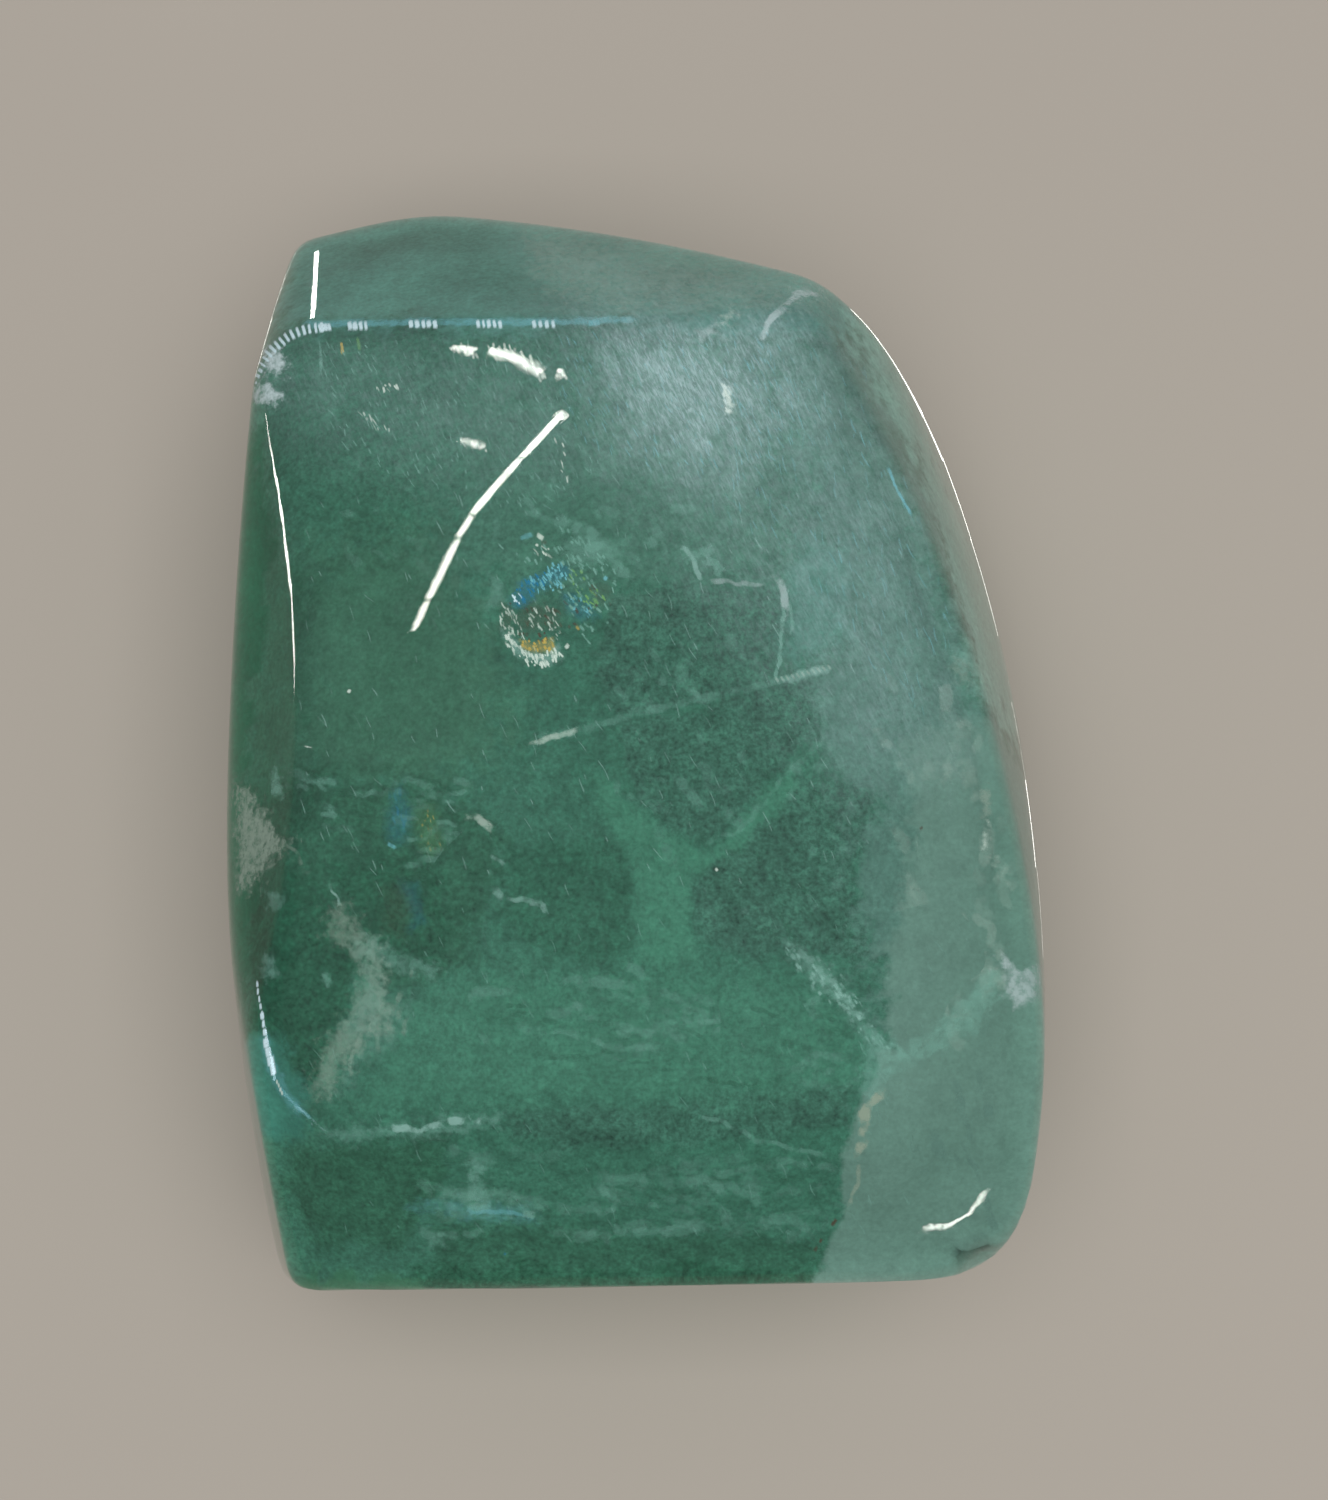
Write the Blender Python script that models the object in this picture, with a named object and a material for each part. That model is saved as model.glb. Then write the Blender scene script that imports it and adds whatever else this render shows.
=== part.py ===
"""A polished fluorite freeform, lying on its flat back.

One stone, ground to broad crowned facets that are polished over where they meet. It was sawn off
square at its foot, so it can also stand on that cut. Lengths here are in millimetres and angles in
degrees; the mesh is in metres, +Z up. The origin is at the middle of the box, on the resting face.
"""

from collections import namedtuple
from math import cos, radians, sin, sqrt

import bmesh
import bpy
from mathutils import Vector

MILLIMETRE = 0.001

# The rough block, sawn before grinding: its width, length and thickness, and the number of cells
# along each that the ground surface is drawn with.
BLOCK_SIZE = (64.0, 88.0, 39.5)
BLOCK_CELLS = (30, 41, 18)

# The point inside the stone that every facet is measured from, and its height over the back.
HEART_HEIGHT = 19.0
HEART = Vector((0.6, -1.6, HEART_HEIGHT))

# One ground face. turn is the compass angle that it faces, from +X towards +Y, and tilt how far it
# leans from facing up. depth is its distance from the heart. ridge is how much of the stone is
# polished away where it meets its neighbours. crown is the radius that the face is domed to, FLAT
# for a plane, and below zero where the wheel left a hollow.
Facet = namedtuple("Facet", "turn tilt depth ridge crown")
FLAT = None

FACETS = {
    "broad_face": Facet(0, 0, 20.5, 3.0, 170),
    "upper_left_fall": Facet(147, 8, 21.7, 0.7, 200),
    "resting_back": Facet(0, 180, HEART_HEIGHT, 2.0, FLAT),
    "left_hollow": Facet(177.5, 48, 30.02, 1.5, -400),
    "crest_corner": Facet(141, 47, 38.6, 1.5, 300),
    "crest": Facet(96, 38, 32.4, 1.2, 250),
    "crest_end_right": Facet(66, 92, 38.1, 4.0, 200),
    "crest_end_left": Facet(102, 98, 49.0, 3.0, 200),
    "right_shoulder": Facet(25, 52, 31.3, 2.5, 200),
    "right_flank": Facet(14, 72, 29.5, 4.0, 200),
    "right_edge": Facet(-5, 92, 33.4, 6.0, 300),
    "foot_slope": Facet(-91, 27, 30.7, 1.5, 200),
    "sawn_foot": Facet(-89, 90, 41.9, 1.0, FLAT),
    "left_side": Facet(180, 86, 32.3, 3.0, 300),
    "left_heel": Facet(189, 76, 35.2, 3.0, 300),
    "left_toe": Facet(199, 42, 35.1, 1.0, 300),
    "left_toe_lower": Facet(223, 34, 34.75, 1.0, 300),
    "right_side": Facet(2, 96, 32.2, 5.0, 300),
    "right_heel": Facet(-50, 88, 48.2, 3.0, 100),
    "back_left_bevel": Facet(180, 140, 30.0, 4.0, 200),
    "back_right_bevel": Facet(0, 142, 31.5, 4.0, 200),
    "back_crest_bevel": Facet(90, 138, 37.0, 4.0, 200),
    "foot_chip": Facet(-58, 78, 47.7, 0.3, -5),
}

# Polished fluorite: sea green, glossy, not a metal.
STONE_COLOUR = (0.05, 0.16, 0.11, 1.0)
STONE_ROUGHNESS = 0.08

# A ray that never meets a facet, or only grazes it, counts as running this far.
OUT_OF_REACH = 1000.0
GRAZING = 0.002


def clear_scene():
    for old in list(bpy.data.objects):
        bpy.data.objects.remove(old, do_unlink=True)


def facing(facet):
    """The direction that a facet looks in."""
    turn, tilt = radians(facet.turn), radians(facet.tilt)
    return Vector((cos(turn) * sin(tilt), sin(turn) * sin(tilt), cos(tilt)))


def reach(ray, facet):
    """How far a ray from the heart runs before it meets a facet's plane or dome."""
    along = ray.dot(facing(facet))
    if along < GRAZING:
        return OUT_OF_REACH
    if facet.crown is FLAT:
        return facet.depth / along
    middle = facet.depth - facet.crown
    across = (along * middle) ** 2 - middle**2 + facet.crown**2
    hollow = facet.crown < 0
    if across < 0:
        return OUT_OF_REACH
    return along * middle + (-sqrt(across) if hollow else sqrt(across))


def polished_over(first, second, ridge):
    """The shorter of two reaches, with the corner between them rounded off."""
    overlap = max(ridge - abs(first - second), 0.0) / ridge
    return min(first, second) - overlap**3 * ridge / 6


def surface_reach(ray):
    """How far the finished stone reaches along a ray from its heart."""
    distance = OUT_OF_REACH
    for facet in FACETS.values():
        distance = polished_over(distance, reach(ray, facet), facet.ridge)
    return distance


def saw_block(mesh):
    """A block around the heart, its faces ruled into square cells."""
    bmesh.ops.create_cube(mesh, size=1.0)
    for axis, cells in enumerate(BLOCK_CELLS):
        along = [edge for edge in mesh.edges if runs_along(edge, axis)]
        bmesh.ops.subdivide_edges(mesh, edges=along, cuts=cells - 1, use_grid_fill=True)
    bmesh.ops.scale(mesh, vec=Vector(BLOCK_SIZE), verts=mesh.verts)


def runs_along(edge, axis):
    start, end = edge.verts
    return abs((end.co - start.co).normalized()[axis]) > 0.5


def grind(mesh):
    """Every corner of the ruled block slides along its ray to the ground surface."""
    for vertex in mesh.verts:
        ray = vertex.co.normalized()
        vertex.co = (HEART + ray * surface_reach(ray)) * MILLIMETRE


def polished_fluorite():
    material = bpy.data.materials.new("fluorite")
    material.use_nodes = True
    shader = material.node_tree.nodes["Principled BSDF"]
    shader.inputs["Base Color"].default_value = STONE_COLOUR
    shader.inputs["Roughness"].default_value = STONE_ROUGHNESS
    shader.inputs["Metallic"].default_value = 0.0
    return material


def make_stone():
    shape = bmesh.new()
    saw_block(shape)
    grind(shape)
    bmesh.ops.recalc_face_normals(shape, faces=shape.faces)
    mesh = bpy.data.meshes.new("fluorite_stone")
    shape.to_mesh(mesh)
    shape.free()
    mesh.shade_smooth()
    mesh.set_sharp_from_angle(angle=radians(35))
    mesh.materials.append(polished_fluorite())
    stone = bpy.data.objects.new("fluorite_stone", mesh)
    bpy.context.scene.collection.objects.link(stone)
    return stone


clear_scene()
make_stone()
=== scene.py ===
"""A polished fluorite freeform: its finish, what shows inside it, and a plain studio to see it in."""

import math
import random
from collections import namedtuple

import bmesh
import bpy
import numpy as np
from bpy.props import FloatProperty, FloatVectorProperty, PointerProperty
from mathutils import Matrix, Vector, noise
from mathutils.bvhtree import BVHTree


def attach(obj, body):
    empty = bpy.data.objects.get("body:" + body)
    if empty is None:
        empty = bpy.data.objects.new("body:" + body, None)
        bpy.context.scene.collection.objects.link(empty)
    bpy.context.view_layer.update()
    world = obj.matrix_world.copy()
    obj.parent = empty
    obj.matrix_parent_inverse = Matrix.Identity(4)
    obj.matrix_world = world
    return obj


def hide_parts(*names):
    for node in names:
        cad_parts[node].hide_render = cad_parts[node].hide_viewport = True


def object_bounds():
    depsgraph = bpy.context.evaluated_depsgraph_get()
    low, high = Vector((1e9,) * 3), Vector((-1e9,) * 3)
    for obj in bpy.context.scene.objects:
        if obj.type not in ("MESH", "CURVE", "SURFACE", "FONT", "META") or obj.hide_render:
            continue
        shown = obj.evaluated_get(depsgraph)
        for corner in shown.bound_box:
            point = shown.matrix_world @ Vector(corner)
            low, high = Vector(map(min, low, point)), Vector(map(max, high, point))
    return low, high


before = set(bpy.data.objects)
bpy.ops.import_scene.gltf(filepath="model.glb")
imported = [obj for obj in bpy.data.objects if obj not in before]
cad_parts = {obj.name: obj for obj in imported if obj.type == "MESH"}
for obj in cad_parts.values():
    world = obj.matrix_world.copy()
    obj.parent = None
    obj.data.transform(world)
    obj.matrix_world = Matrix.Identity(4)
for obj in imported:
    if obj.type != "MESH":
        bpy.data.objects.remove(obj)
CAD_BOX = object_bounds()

bl_info = {
    "name": "Polished Fluorite Freeform",
    "version": (1, 0, 0),
    "blender": (4, 5, 0),
    "location": "3D View > Sidebar > Fluorite",
    "description": "Makes a polished fluorite stone with its clouds, veils, veins and fractures",
    "category": "Object",
}

MM = 0.001
NODE = "fluorite_stone"
BODY = "root"


# ---------------------------------------------------------------- colours and sizes to change


def linear(hex_colour):
    """An sRGB hex colour such as "3f6b5a" as linear red, green and blue."""
    parts = [int(hex_colour[i : i + 2], 16) / 255 for i in (0, 2, 4)]
    return tuple(p / 12.92 if p <= 0.04045 else ((p + 0.055) / 1.055) ** 2.4 for p in parts)


def colour_choice(name, description, hex_colour):
    return FloatVectorProperty(
        name=name,
        description=description,
        default=linear(hex_colour),
        subtype="COLOR",
        min=0.0,
        max=1.0,
    )


def length_choice(name, description, millimetres):
    return FloatProperty(
        name=name,
        description=description,
        default=millimetres * MM,
        subtype="DISTANCE",
        unit="LENGTH",
        min=0.0,
    )


class FluoriteColours(bpy.types.PropertyGroup):
    """The colours that show in the stone, and the floor's."""

    clear: colour_choice("Clear stone", "What a centimetre of the clear stone lets through", "b4e0cd")
    deep: colour_choice("Deep green", "The darkest growth, low on the left", "2d5b46")
    moss: colour_choice("Moss green", "The growth around it", "35604b")
    sea: colour_choice("Sea green", "Most of the growth", "42705d")
    sugar: colour_choice("Sugary green", "The grainy shield in the middle", "446b5b")
    bright: colour_choice("Bright green", "The smooth growth that light gets into", "4b7e68")
    slate: colour_choice("Slate green", "Where the pale zone lies deeper", "617f74")
    grey: colour_choice("Grey green", "The pale zone along the right", "70897d")
    crest: colour_choice("Crest green", "The growth under the crest", "608d82")
    edge: colour_choice("Edge green", "Where light comes in from the left side", "1a6248")
    toe: colour_choice("Toe green", "The same, low on the left", "427a6b")
    # The polish marks' colour: fine scratches, and the painted sheen of reflected light where they lie.
    polish_marks_and_sheen: colour_choice("Scuffed skin", "Fine scratches left by the polishing", "d6f2f8")
    calm: colour_choice("Calm green", "Smooth growth high on the left", "466f5a")
    corner: colour_choice("Corner green", "The corner that light shines through", "3f6d53")
    veil: colour_choice("Veil", "Healed cracks that look like torn gauze", "a3ae9d")
    haze: colour_choice("Haze", "Healed cracks so thin that they only haze the stone", "84b09f")
    milk: colour_choice("Milk", "Thin milky veins", "a9c9bd")
    mint: colour_choice("Mint", "The mossy vein", "9cc0b2")
    rose: colour_choice("Rose", "The pinkish seam", "adaf99")
    crack: colour_choice("Crack", "Open cracks that whiten the corners", "dadedd")
    # Ice is the tone of real bluish flashes in the stone, and of painted highlights along the crest, the
    # right ridge and the left foot's arc.
    ice: colour_choice("Ice", "Bluish flashes", "7fc4cc")
    azure: colour_choice("Azure", "Rainbow fractures, where the air film is thin", "1f7fa6")
    # Pearl is also the tone of painted highlights: bright strokes, dots and rows where the lamps'
    # reflections lie.
    pearl: colour_choice("Pearl", "The bright rim of a rainbow fracture", "e6eadb")
    gold: colour_choice("Gold", "Rainbow fractures, where the air film is thicker", "dcb45a")
    # Painted highlight: the bluish glints painted in rows along the crest and the left foot's arc.
    glint: colour_choice("Glint", "Bluish light caught by nicks across a ridge", "ecfaff")
    lime: colour_choice("Lime", "Between the gold and the azure", "7fae6a")
    rust: colour_choice("Rust", "Dark red specks", "5a4030")
    floor: colour_choice("Floor", "The floor under the stone", "aea69c")


class FluoriteSizes(bpy.types.PropertyGroup):
    """How fine the surfaces are, and how far down the growth lies."""

    cell: length_choice("Cell", "Width of the squares of the fine surfaces", 0.45)
    side_cell: length_choice("Side cell", "Height of those squares down the sides", 1.0)
    clear_depth: length_choice("Clear depth", "Clear stone over the cloudy growth", 2.0)
    clear_waver: length_choice("Waver", "How far that depth comes and goes", 0.9)
    growth_round: length_choice("Rounding", "How much rounder the growth's ridges are", 0.6)


# ---------------------------------------------------------------- camera and picture frame

# The picture and the lens in pixels, the camera's height over the floor in degrees, its distance
# and what it looks at in millimetres, and where it starts to see in metres.
PICTURE_WIDTH = 1328
PICTURE_HEIGHT = 1500
SENSOR_MM = 36.0
FOCAL_PIXELS = 2300.0
CAMERA_ELEVATION = 80.7
CAMERA_DISTANCE = 187.0
CAMERA_TARGET = (2.6, -1.6, 18.0)
CLIP_START = 0.005


def camera_axes():
    """The camera's place in metres, and its right, up and forward directions."""
    lean = math.radians(CAMERA_ELEVATION)
    forward = np.array([0.0, math.cos(lean), -math.sin(lean)])
    right = np.array([1.0, 0.0, 0.0])
    place = (np.array(CAMERA_TARGET) - forward * CAMERA_DISTANCE) * MM
    return place, right, np.cross(right, forward), forward


def picture_ray(across, down):
    """Where the camera's ray through a pixel of the picture frame starts, and its direction."""
    place, right, up, forward = camera_axes()
    side = (across - PICTURE_WIDTH / 2) / FOCAL_PIXELS
    rise = (PICTURE_HEIGHT / 2 - down) / FOCAL_PIXELS
    return Vector(place), Vector(forward + right * side + up * rise).normalized()


def picture_pixels(points):
    """The pixels at which points in metres show."""
    place, right, up, forward = camera_axes()
    towards = points - place
    away = towards @ forward
    across = PICTURE_WIDTH / 2 + FOCAL_PIXELS * (towards @ right) / away
    down = PICTURE_HEIGHT / 2 - FOCAL_PIXELS * (towards @ up) / away
    return np.stack([across, down], axis=1)


# ---------------------------------------------------------------- the ground form

# The same ground faces as the solid's, so that the fine surface lies on it: the turn and tilt that
# each faces in degrees, its distance from the heart, how far its ridges are polished over and the
# radius that it is crowned to, in millimetres.
Facet = namedtuple("Facet", "turn tilt depth ridge crown")
FLAT = None
# The point inside the stone from which the facets are measured, in millimetres.
HEART_HEIGHT = 19.0
HEART = np.array([0.6, -1.6, HEART_HEIGHT])
FACETS = {
    "broad_face": Facet(0, 0, 20.5, 3.0, 170),
    "upper_left_fall": Facet(147, 8, 21.7, 0.7, 200),
    "resting_back": Facet(0, 180, HEART_HEIGHT, 2.0, FLAT),
    "left_hollow": Facet(177.5, 48, 30.02, 1.5, -400),
    "crest_corner": Facet(141, 47, 38.6, 1.5, 300),
    "crest": Facet(96, 38, 32.4, 1.2, 250),
    "crest_end_right": Facet(66, 92, 38.1, 4.0, 200),
    "crest_end_left": Facet(102, 98, 49.0, 3.0, 200),
    "right_shoulder": Facet(25, 52, 31.3, 2.5, 200),
    "right_flank": Facet(14, 72, 29.5, 4.0, 200),
    "right_edge": Facet(-5, 92, 33.4, 6.0, 300),
    "foot_slope": Facet(-91, 27, 30.7, 1.5, 200),
    "sawn_foot": Facet(-89, 90, 41.9, 1.0, FLAT),
    "left_side": Facet(180, 86, 32.3, 3.0, 300),
    "left_heel": Facet(189, 76, 35.2, 3.0, 300),
    "left_toe": Facet(199, 42, 35.1, 1.0, 300),
    "left_toe_lower": Facet(223, 34, 34.75, 1.0, 300),
    "right_side": Facet(2, 96, 32.2, 5.0, 300),
    "right_heel": Facet(-50, 88, 48.2, 3.0, 100),
    "back_left_bevel": Facet(180, 140, 30.0, 4.0, 200),
    "back_right_bevel": Facet(0, 142, 31.5, 4.0, 200),
    "back_crest_bevel": Facet(90, 138, 37.0, 4.0, 200),
    "foot_chip": Facet(-58, 78, 47.7, 0.3, -5),
}
# Further than any ray from the heart runs, and how nearly along a facet a ray may run and still
# meet it. The block whose faces are pressed onto the stone, and the step over which the skin's
# slope is measured, in millimetres.
OUT_OF_REACH = 1000.0
GRAZING = 0.002
BLOCK_SIZE = (64.0, 88.0, 39.5)
NORMAL_STEP = 0.05


def facing(facet):
    turn, tilt = math.radians(facet.turn), math.radians(facet.tilt)
    side = math.sin(tilt)
    return np.array([math.cos(turn) * side, math.sin(turn) * side, math.cos(tilt)])


def reach(rays, facet):
    """How far each ray from the heart runs before it meets a facet's plane or dome."""
    along = rays @ facing(facet)
    if facet.crown is FLAT:
        return np.where(along < GRAZING, OUT_OF_REACH, facet.depth / np.maximum(along, GRAZING))
    middle = facet.depth - facet.crown
    across = (along * middle) ** 2 - middle**2 + facet.crown**2
    half_chord = math.copysign(1.0, facet.crown) * np.sqrt(np.maximum(across, 0.0))
    missed = (along < GRAZING) | (across < 0)
    return np.where(missed, OUT_OF_REACH, along * middle + half_chord)


def surface_reach(rays, rounder=0.0):
    """How far the stone reaches along rays from its heart, its ridges polished over."""
    distance = np.full(len(rays), OUT_OF_REACH)
    for facet in FACETS.values():
        ridge = facet.ridge + rounder
        other = reach(rays, facet)
        overlap = np.maximum(ridge - np.abs(distance - other), 0.0) / ridge
        distance = np.minimum(distance, other) - overlap**3 * ridge / 6
    return distance


def skin_normals(places):
    """The way the skin faces at places on it, in millimetres from the heart."""
    above = []
    for step in np.concatenate([np.eye(3), -np.eye(3)]) * NORMAL_STEP:
        away = np.linalg.norm(places + step, axis=1)
        above.append(away - surface_reach((places + step) / away[:, None]))
    slope = np.stack(above[:3], axis=1) - np.stack(above[3:], axis=1)
    return slope / np.linalg.norm(slope, axis=1)[:, None]


def ruled_block(sizes):
    """A block with its faces ruled into cells, in millimetres."""
    cells = (sizes.cell / MM, sizes.cell / MM, sizes.side_cell / MM)
    block = bmesh.new()
    bmesh.ops.create_cube(block, size=1.0)
    for axis, (length, cell) in enumerate(zip(BLOCK_SIZE, cells)):
        along = [
            edge
            for edge in block.edges
            if abs((edge.verts[1].co - edge.verts[0].co).normalized()[axis]) > 0.5
        ]
        cuts = round(length / cell) - 1
        bmesh.ops.subdivide_edges(block, edges=along, cuts=cuts, use_grid_fill=True)
    bmesh.ops.scale(block, vec=Vector(BLOCK_SIZE), verts=block.verts)
    bmesh.ops.recalc_face_normals(block, faces=block.faces)
    mesh = bpy.data.meshes.new("ruled_block")
    block.to_mesh(mesh)
    block.free()
    return mesh


def mesh_values(mesh_part, name, width=3):
    """One named value of every vertex, normal or the like, as rows."""
    flat = np.empty(len(mesh_part) * width, dtype=np.float32)
    mesh_part.foreach_get(name, flat)
    return flat.reshape(-1, width).astype(float)


def put_points(mesh, points):
    mesh.vertices.foreach_set("co", points.astype(np.float32).ravel())
    mesh.update()


def heart_rays(mesh):
    points = mesh_values(mesh.vertices, "co")
    return points / np.linalg.norm(points, axis=1)[:, None]


def new_piece(name, mesh, material):
    """A finished piece of the stone, which moves with it."""
    mesh.name = name
    piece = bpy.data.objects.new(name, mesh)
    bpy.context.collection.objects.link(piece)
    mesh.materials.append(material)
    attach(piece, BODY)
    return piece


# ---------------------------------------------------------------- placing things inside the stone

FLUORITE_IOR = 1.434
SKIN_NAME = "polished_stone"


class Sightline:
    """Follows the camera's rays into the stone, so that what lies inside is placed by pixel."""

    def __init__(self):
        stone = bpy.data.objects[SKIN_NAME]
        self.tree = BVHTree.FromObject(stone, bpy.context.evaluated_depsgraph_get())

    def enter(self, across, down):
        """Where a pixel's ray enters the stone, its bent direction inside, and the normal."""
        start, ray = picture_ray(across, down)
        place, normal, _, _ = self.tree.ray_cast(start, ray)
        if place is None:
            return None, None, None
        ratio = 1.0 / FLUORITE_IOR
        cosine = -normal.dot(ray)
        bent = math.sqrt(1.0 - ratio**2 * (1.0 - cosine**2))
        return place, (ratio * ray + (ratio * cosine - bent) * normal).normalized(), normal

    def at(self, across, down, depth):
        """The point that shows at a pixel from depth millimetres down, or None off the stone."""
        place, ray, normal = self.enter(across, down)
        if place is None:
            return None
        return place + ray * (depth * MM / abs(ray.dot(normal)))


# ---------------------------------------------------------------- nodes

# A mix node's sockets when it mixes colours.
MIX_FIRST, MIX_SECOND, MIX_RESULT = 6, 7, 2


def new_material(name):
    material = bpy.data.materials.new(name)
    material.use_nodes = True
    material.node_tree.nodes.clear()
    return material


def add_node(tree, kind, inputs=None, **settings):
    """Adds a node with its settings. An input takes a node, a node's socket or a plain value."""
    node = tree.nodes.new(kind)
    for name, value in settings.items():
        setattr(node, name, value)
    for name, value in (inputs or {}).items():
        if isinstance(value, bpy.types.Node):
            value = value.outputs[0]
        if isinstance(value, bpy.types.NodeSocket):
            tree.links.new(value, node.inputs[name])
        else:
            node.inputs[name].default_value = value
    return node


def pattern_place(tree, size, turn=0.0):
    """Coordinates whose unit is size millimetres along each axis, turned about the vertical."""
    place = add_node(tree, "ShaderNodeTexCoord").outputs["Object"]
    inputs = {"Vector": place, "Rotation": (0.0, 0.0, math.radians(turn))}
    turned = add_node(tree, "ShaderNodeMapping", inputs)
    scale = tuple(1.0 / (length * MM) for length in size)
    return add_node(tree, "ShaderNodeMapping", {"Vector": turned, "Scale": scale})


def painted(tree, name):
    """The first two numbers that put_attribute stored under a name."""
    stored = add_node(tree, "ShaderNodeAttribute", attribute_name=name)
    parts = add_node(tree, "ShaderNodeSeparateColor", {"Color": stored})
    return parts.outputs["Red"], parts.outputs["Green"]


def noise_of(tree, size, detail=2.0, turn=0.0, bend=0.0, **settings):
    """Cloud noise from 0 to 1 whose lumps are size millimetres along each axis."""
    place = pattern_place(tree, size, turn)
    inputs = {"Vector": place, "Scale": 1.0, "Detail": detail, "Roughness": 0.65, "Distortion": bend}
    return add_node(tree, "ShaderNodeTexNoise", inputs, **settings).outputs["Fac"]


def ramp(tree, value, start, end, low, high, kind="LINEAR"):
    """A value that runs from low to high while another runs from start to end."""
    inputs = {"Value": value, "From Min": start, "From Max": end, "To Min": low, "To Max": high}
    return add_node(tree, "ShaderNodeMapRange", inputs, interpolation_type=kind).outputs["Result"]


# ---------------------------------------------------------------- painting by patches

# A patch is painted in one of the tones: how strongly, over how soft an edge in picture pixels, and
# the corners of its outline, as they show in the picture frame. Later patches lie over earlier ones.
Patch = namedtuple("Patch", "tone strength soft outline")


# What tears the edges of what is painted: the noise's lumps in millimetres, how far each pushes in
# pixels, and its seed. Then how far each seed moves on through the noise, in lumps.
EDGE_NOISES = ((9.0, 9.0, 3), (2.0, 6.0, 5))
SEED_SHIFT = (17.3, 5.1, 9.7)


def depth_inside(pixels, outline):
    """How many pixels each point lies inside an outline, and less than 0 outside it."""
    corners = np.array(outline, dtype=float)
    nearest = np.full(len(pixels), np.inf)
    inside = np.zeros(len(pixels), dtype=bool)
    for start, end in zip(corners, np.roll(corners, -1, axis=0)):
        nearest = np.minimum(nearest, distance_to_run(pixels, start, end))
        level = (start[1] > pixels[:, 1]) != (end[1] > pixels[:, 1])
        drop = (end - start)[1] or OUT_OF_REACH
        crossing = start[0] + (pixels[:, 1] - start[1]) * (end - start)[0] / drop
        inside ^= level & (pixels[:, 0] < crossing)
    return np.where(inside, nearest, -nearest)


def distance_to_run(pixels, start, end):
    run = end - start
    share = np.clip((pixels - start) @ run / (run @ run), 0.0, 1.0)
    return np.linalg.norm(pixels - start - share[:, None] * run, axis=1)


def smooth_step(value):
    share = np.clip(value, 0.0, 1.0)
    return share * share * (3.0 - 2.0 * share)


def patch_cover(pixels, patch):
    """How fully a patch covers each point, from 0 to its strength."""
    return patch.strength * smooth_step(0.5 + depth_inside(pixels, patch.outline) / (2 * patch.soft))


def waver(points, size, seed):
    """Smooth noise from -1 to 1 at points in metres, size millimetres from lump to lump."""
    shift = Vector([seed * part for part in SEED_SHIFT])
    return np.array([noise.noise(Vector(point) / (size * MM) + shift) for point in points])


def waver_pair(points, size, seed):
    """Two wavers side by side, to push pixels across and down."""
    return np.stack([waver(points, size, seed), waver(points, size, seed + 1)], axis=1)


def torn_pixels(points, pixels, drift=1.0):
    """Pixels pushed about by noise, so that what is painted by them has a torn, grown edge."""
    for size, push, seed in EDGE_NOISES:
        pixels = pixels + push * (drift * waver_pair(points, size, seed).T).T
    return pixels


def put_attribute(mesh, name, *columns):
    """Stores up to three numbers for every vertex, for the material to read as a colour."""
    padding = [np.zeros(len(columns[0]))] * (3 - len(columns)) + [np.ones(len(columns[0]))]
    colours = np.stack([*columns, *padding], axis=1).astype(np.float32)
    mesh.color_attributes.new(name, "FLOAT_COLOR", "POINT").data.foreach_set("color", colours.ravel())


# ---------------------------------------------------------------- polished skin

# The metres of clear stone that let the clear colour through, and how much more it absorbs than its
# most absorbed colour needs, so that none is taken away wholly.
ABSORPTION_PATH = 0.01
ABSORPTION_ROOM = 1.02
# The polish's fine scratches: their size across, along and down and their depth, in millimetres,
# how far they are turned in degrees, how strongly they bend the gloss and how rough they leave it.
SCRATCH_SIZE = (0.09, 1.1, 1.1)
SCRATCH_DEPTH = 0.0015
SCRATCH_TURN = -35
SCRATCH_STRENGTH = 0.3
GLOSS_ROUGHNESS = (0.004, 0.022)
# The streaks and blotches in which the polish marks and their painted sheen lie: their size, how far
# they are turned, and how they thin it and thicken it. Each pair of shares runs between a pair of the
# noise's values.
MARK_AND_SHEEN_STREAK = (0.16, 0.9, 0.9)
MARK_AND_SHEEN_BLOTCH = (1.4, 3.0, 3.0)
MARK_AND_SHEEN_TURN = -25
STREAK_SHARES = (0.42, 0.75, 0.75, 1.9)
BLOTCH_SHARES = (0.3, 0.7, 0.6, 1.4)
# How much a face has to look up to carry the polish marks and their painted sheen in full.
MARK_AND_SHEEN_FACING = 0.5


def absorption(colour):
    """The density and colour that let colour through a centimetre of clear stone."""
    lost = [-math.log(part) / ABSORPTION_PATH for part in colour]
    density = max(lost) * ABSORPTION_ROOM
    return density, tuple(1.0 - part / density for part in lost) + (1.0,)


# Where the polishing left fine scratches that scatter the light, painted strongest where a haze of
# reflected light lies, as a painted sheen: here a patch's tone is the share of the light that they scatter.
POLISH_MARK_AND_SHEEN_PATCHES = (
    Patch(0.01, 1.0, 60, ((240, 340), (820, 300), (930, 520), (1000, 800), (900, 1100), (280, 1100))),
    Patch(0.07, 1.0, 60, ((250, 335), (560, 325), (620, 480), (420, 470), (300, 430), (255, 400))),
    Patch(0.10, 1.0, 90, ((560, 320), (840, 300), (930, 520), (950, 740), (860, 760), (700, 560))),
    Patch(0.29, 1.0, 60, ((600, 325), (770, 322), (790, 400), (720, 470), (640, 440))),
    Patch(0.09, 1.0, 50, ((520, 240), (800, 285), (780, 315), (600, 320))),
)


def polish_marks_and_sheen_cover(pixels, upward):
    """How scratched each point of the skin is, with the painted sheen of reflected light; only faces that
    look up get it.
    """
    marks_and_sheen_share = np.zeros(len(pixels))
    for patch in POLISH_MARK_AND_SHEEN_PATCHES:
        marks_and_sheen_share += (patch.tone - marks_and_sheen_share) * patch_cover(pixels, patch)
    return marks_and_sheen_share * smooth_step(upward / MARK_AND_SHEEN_FACING)


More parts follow.
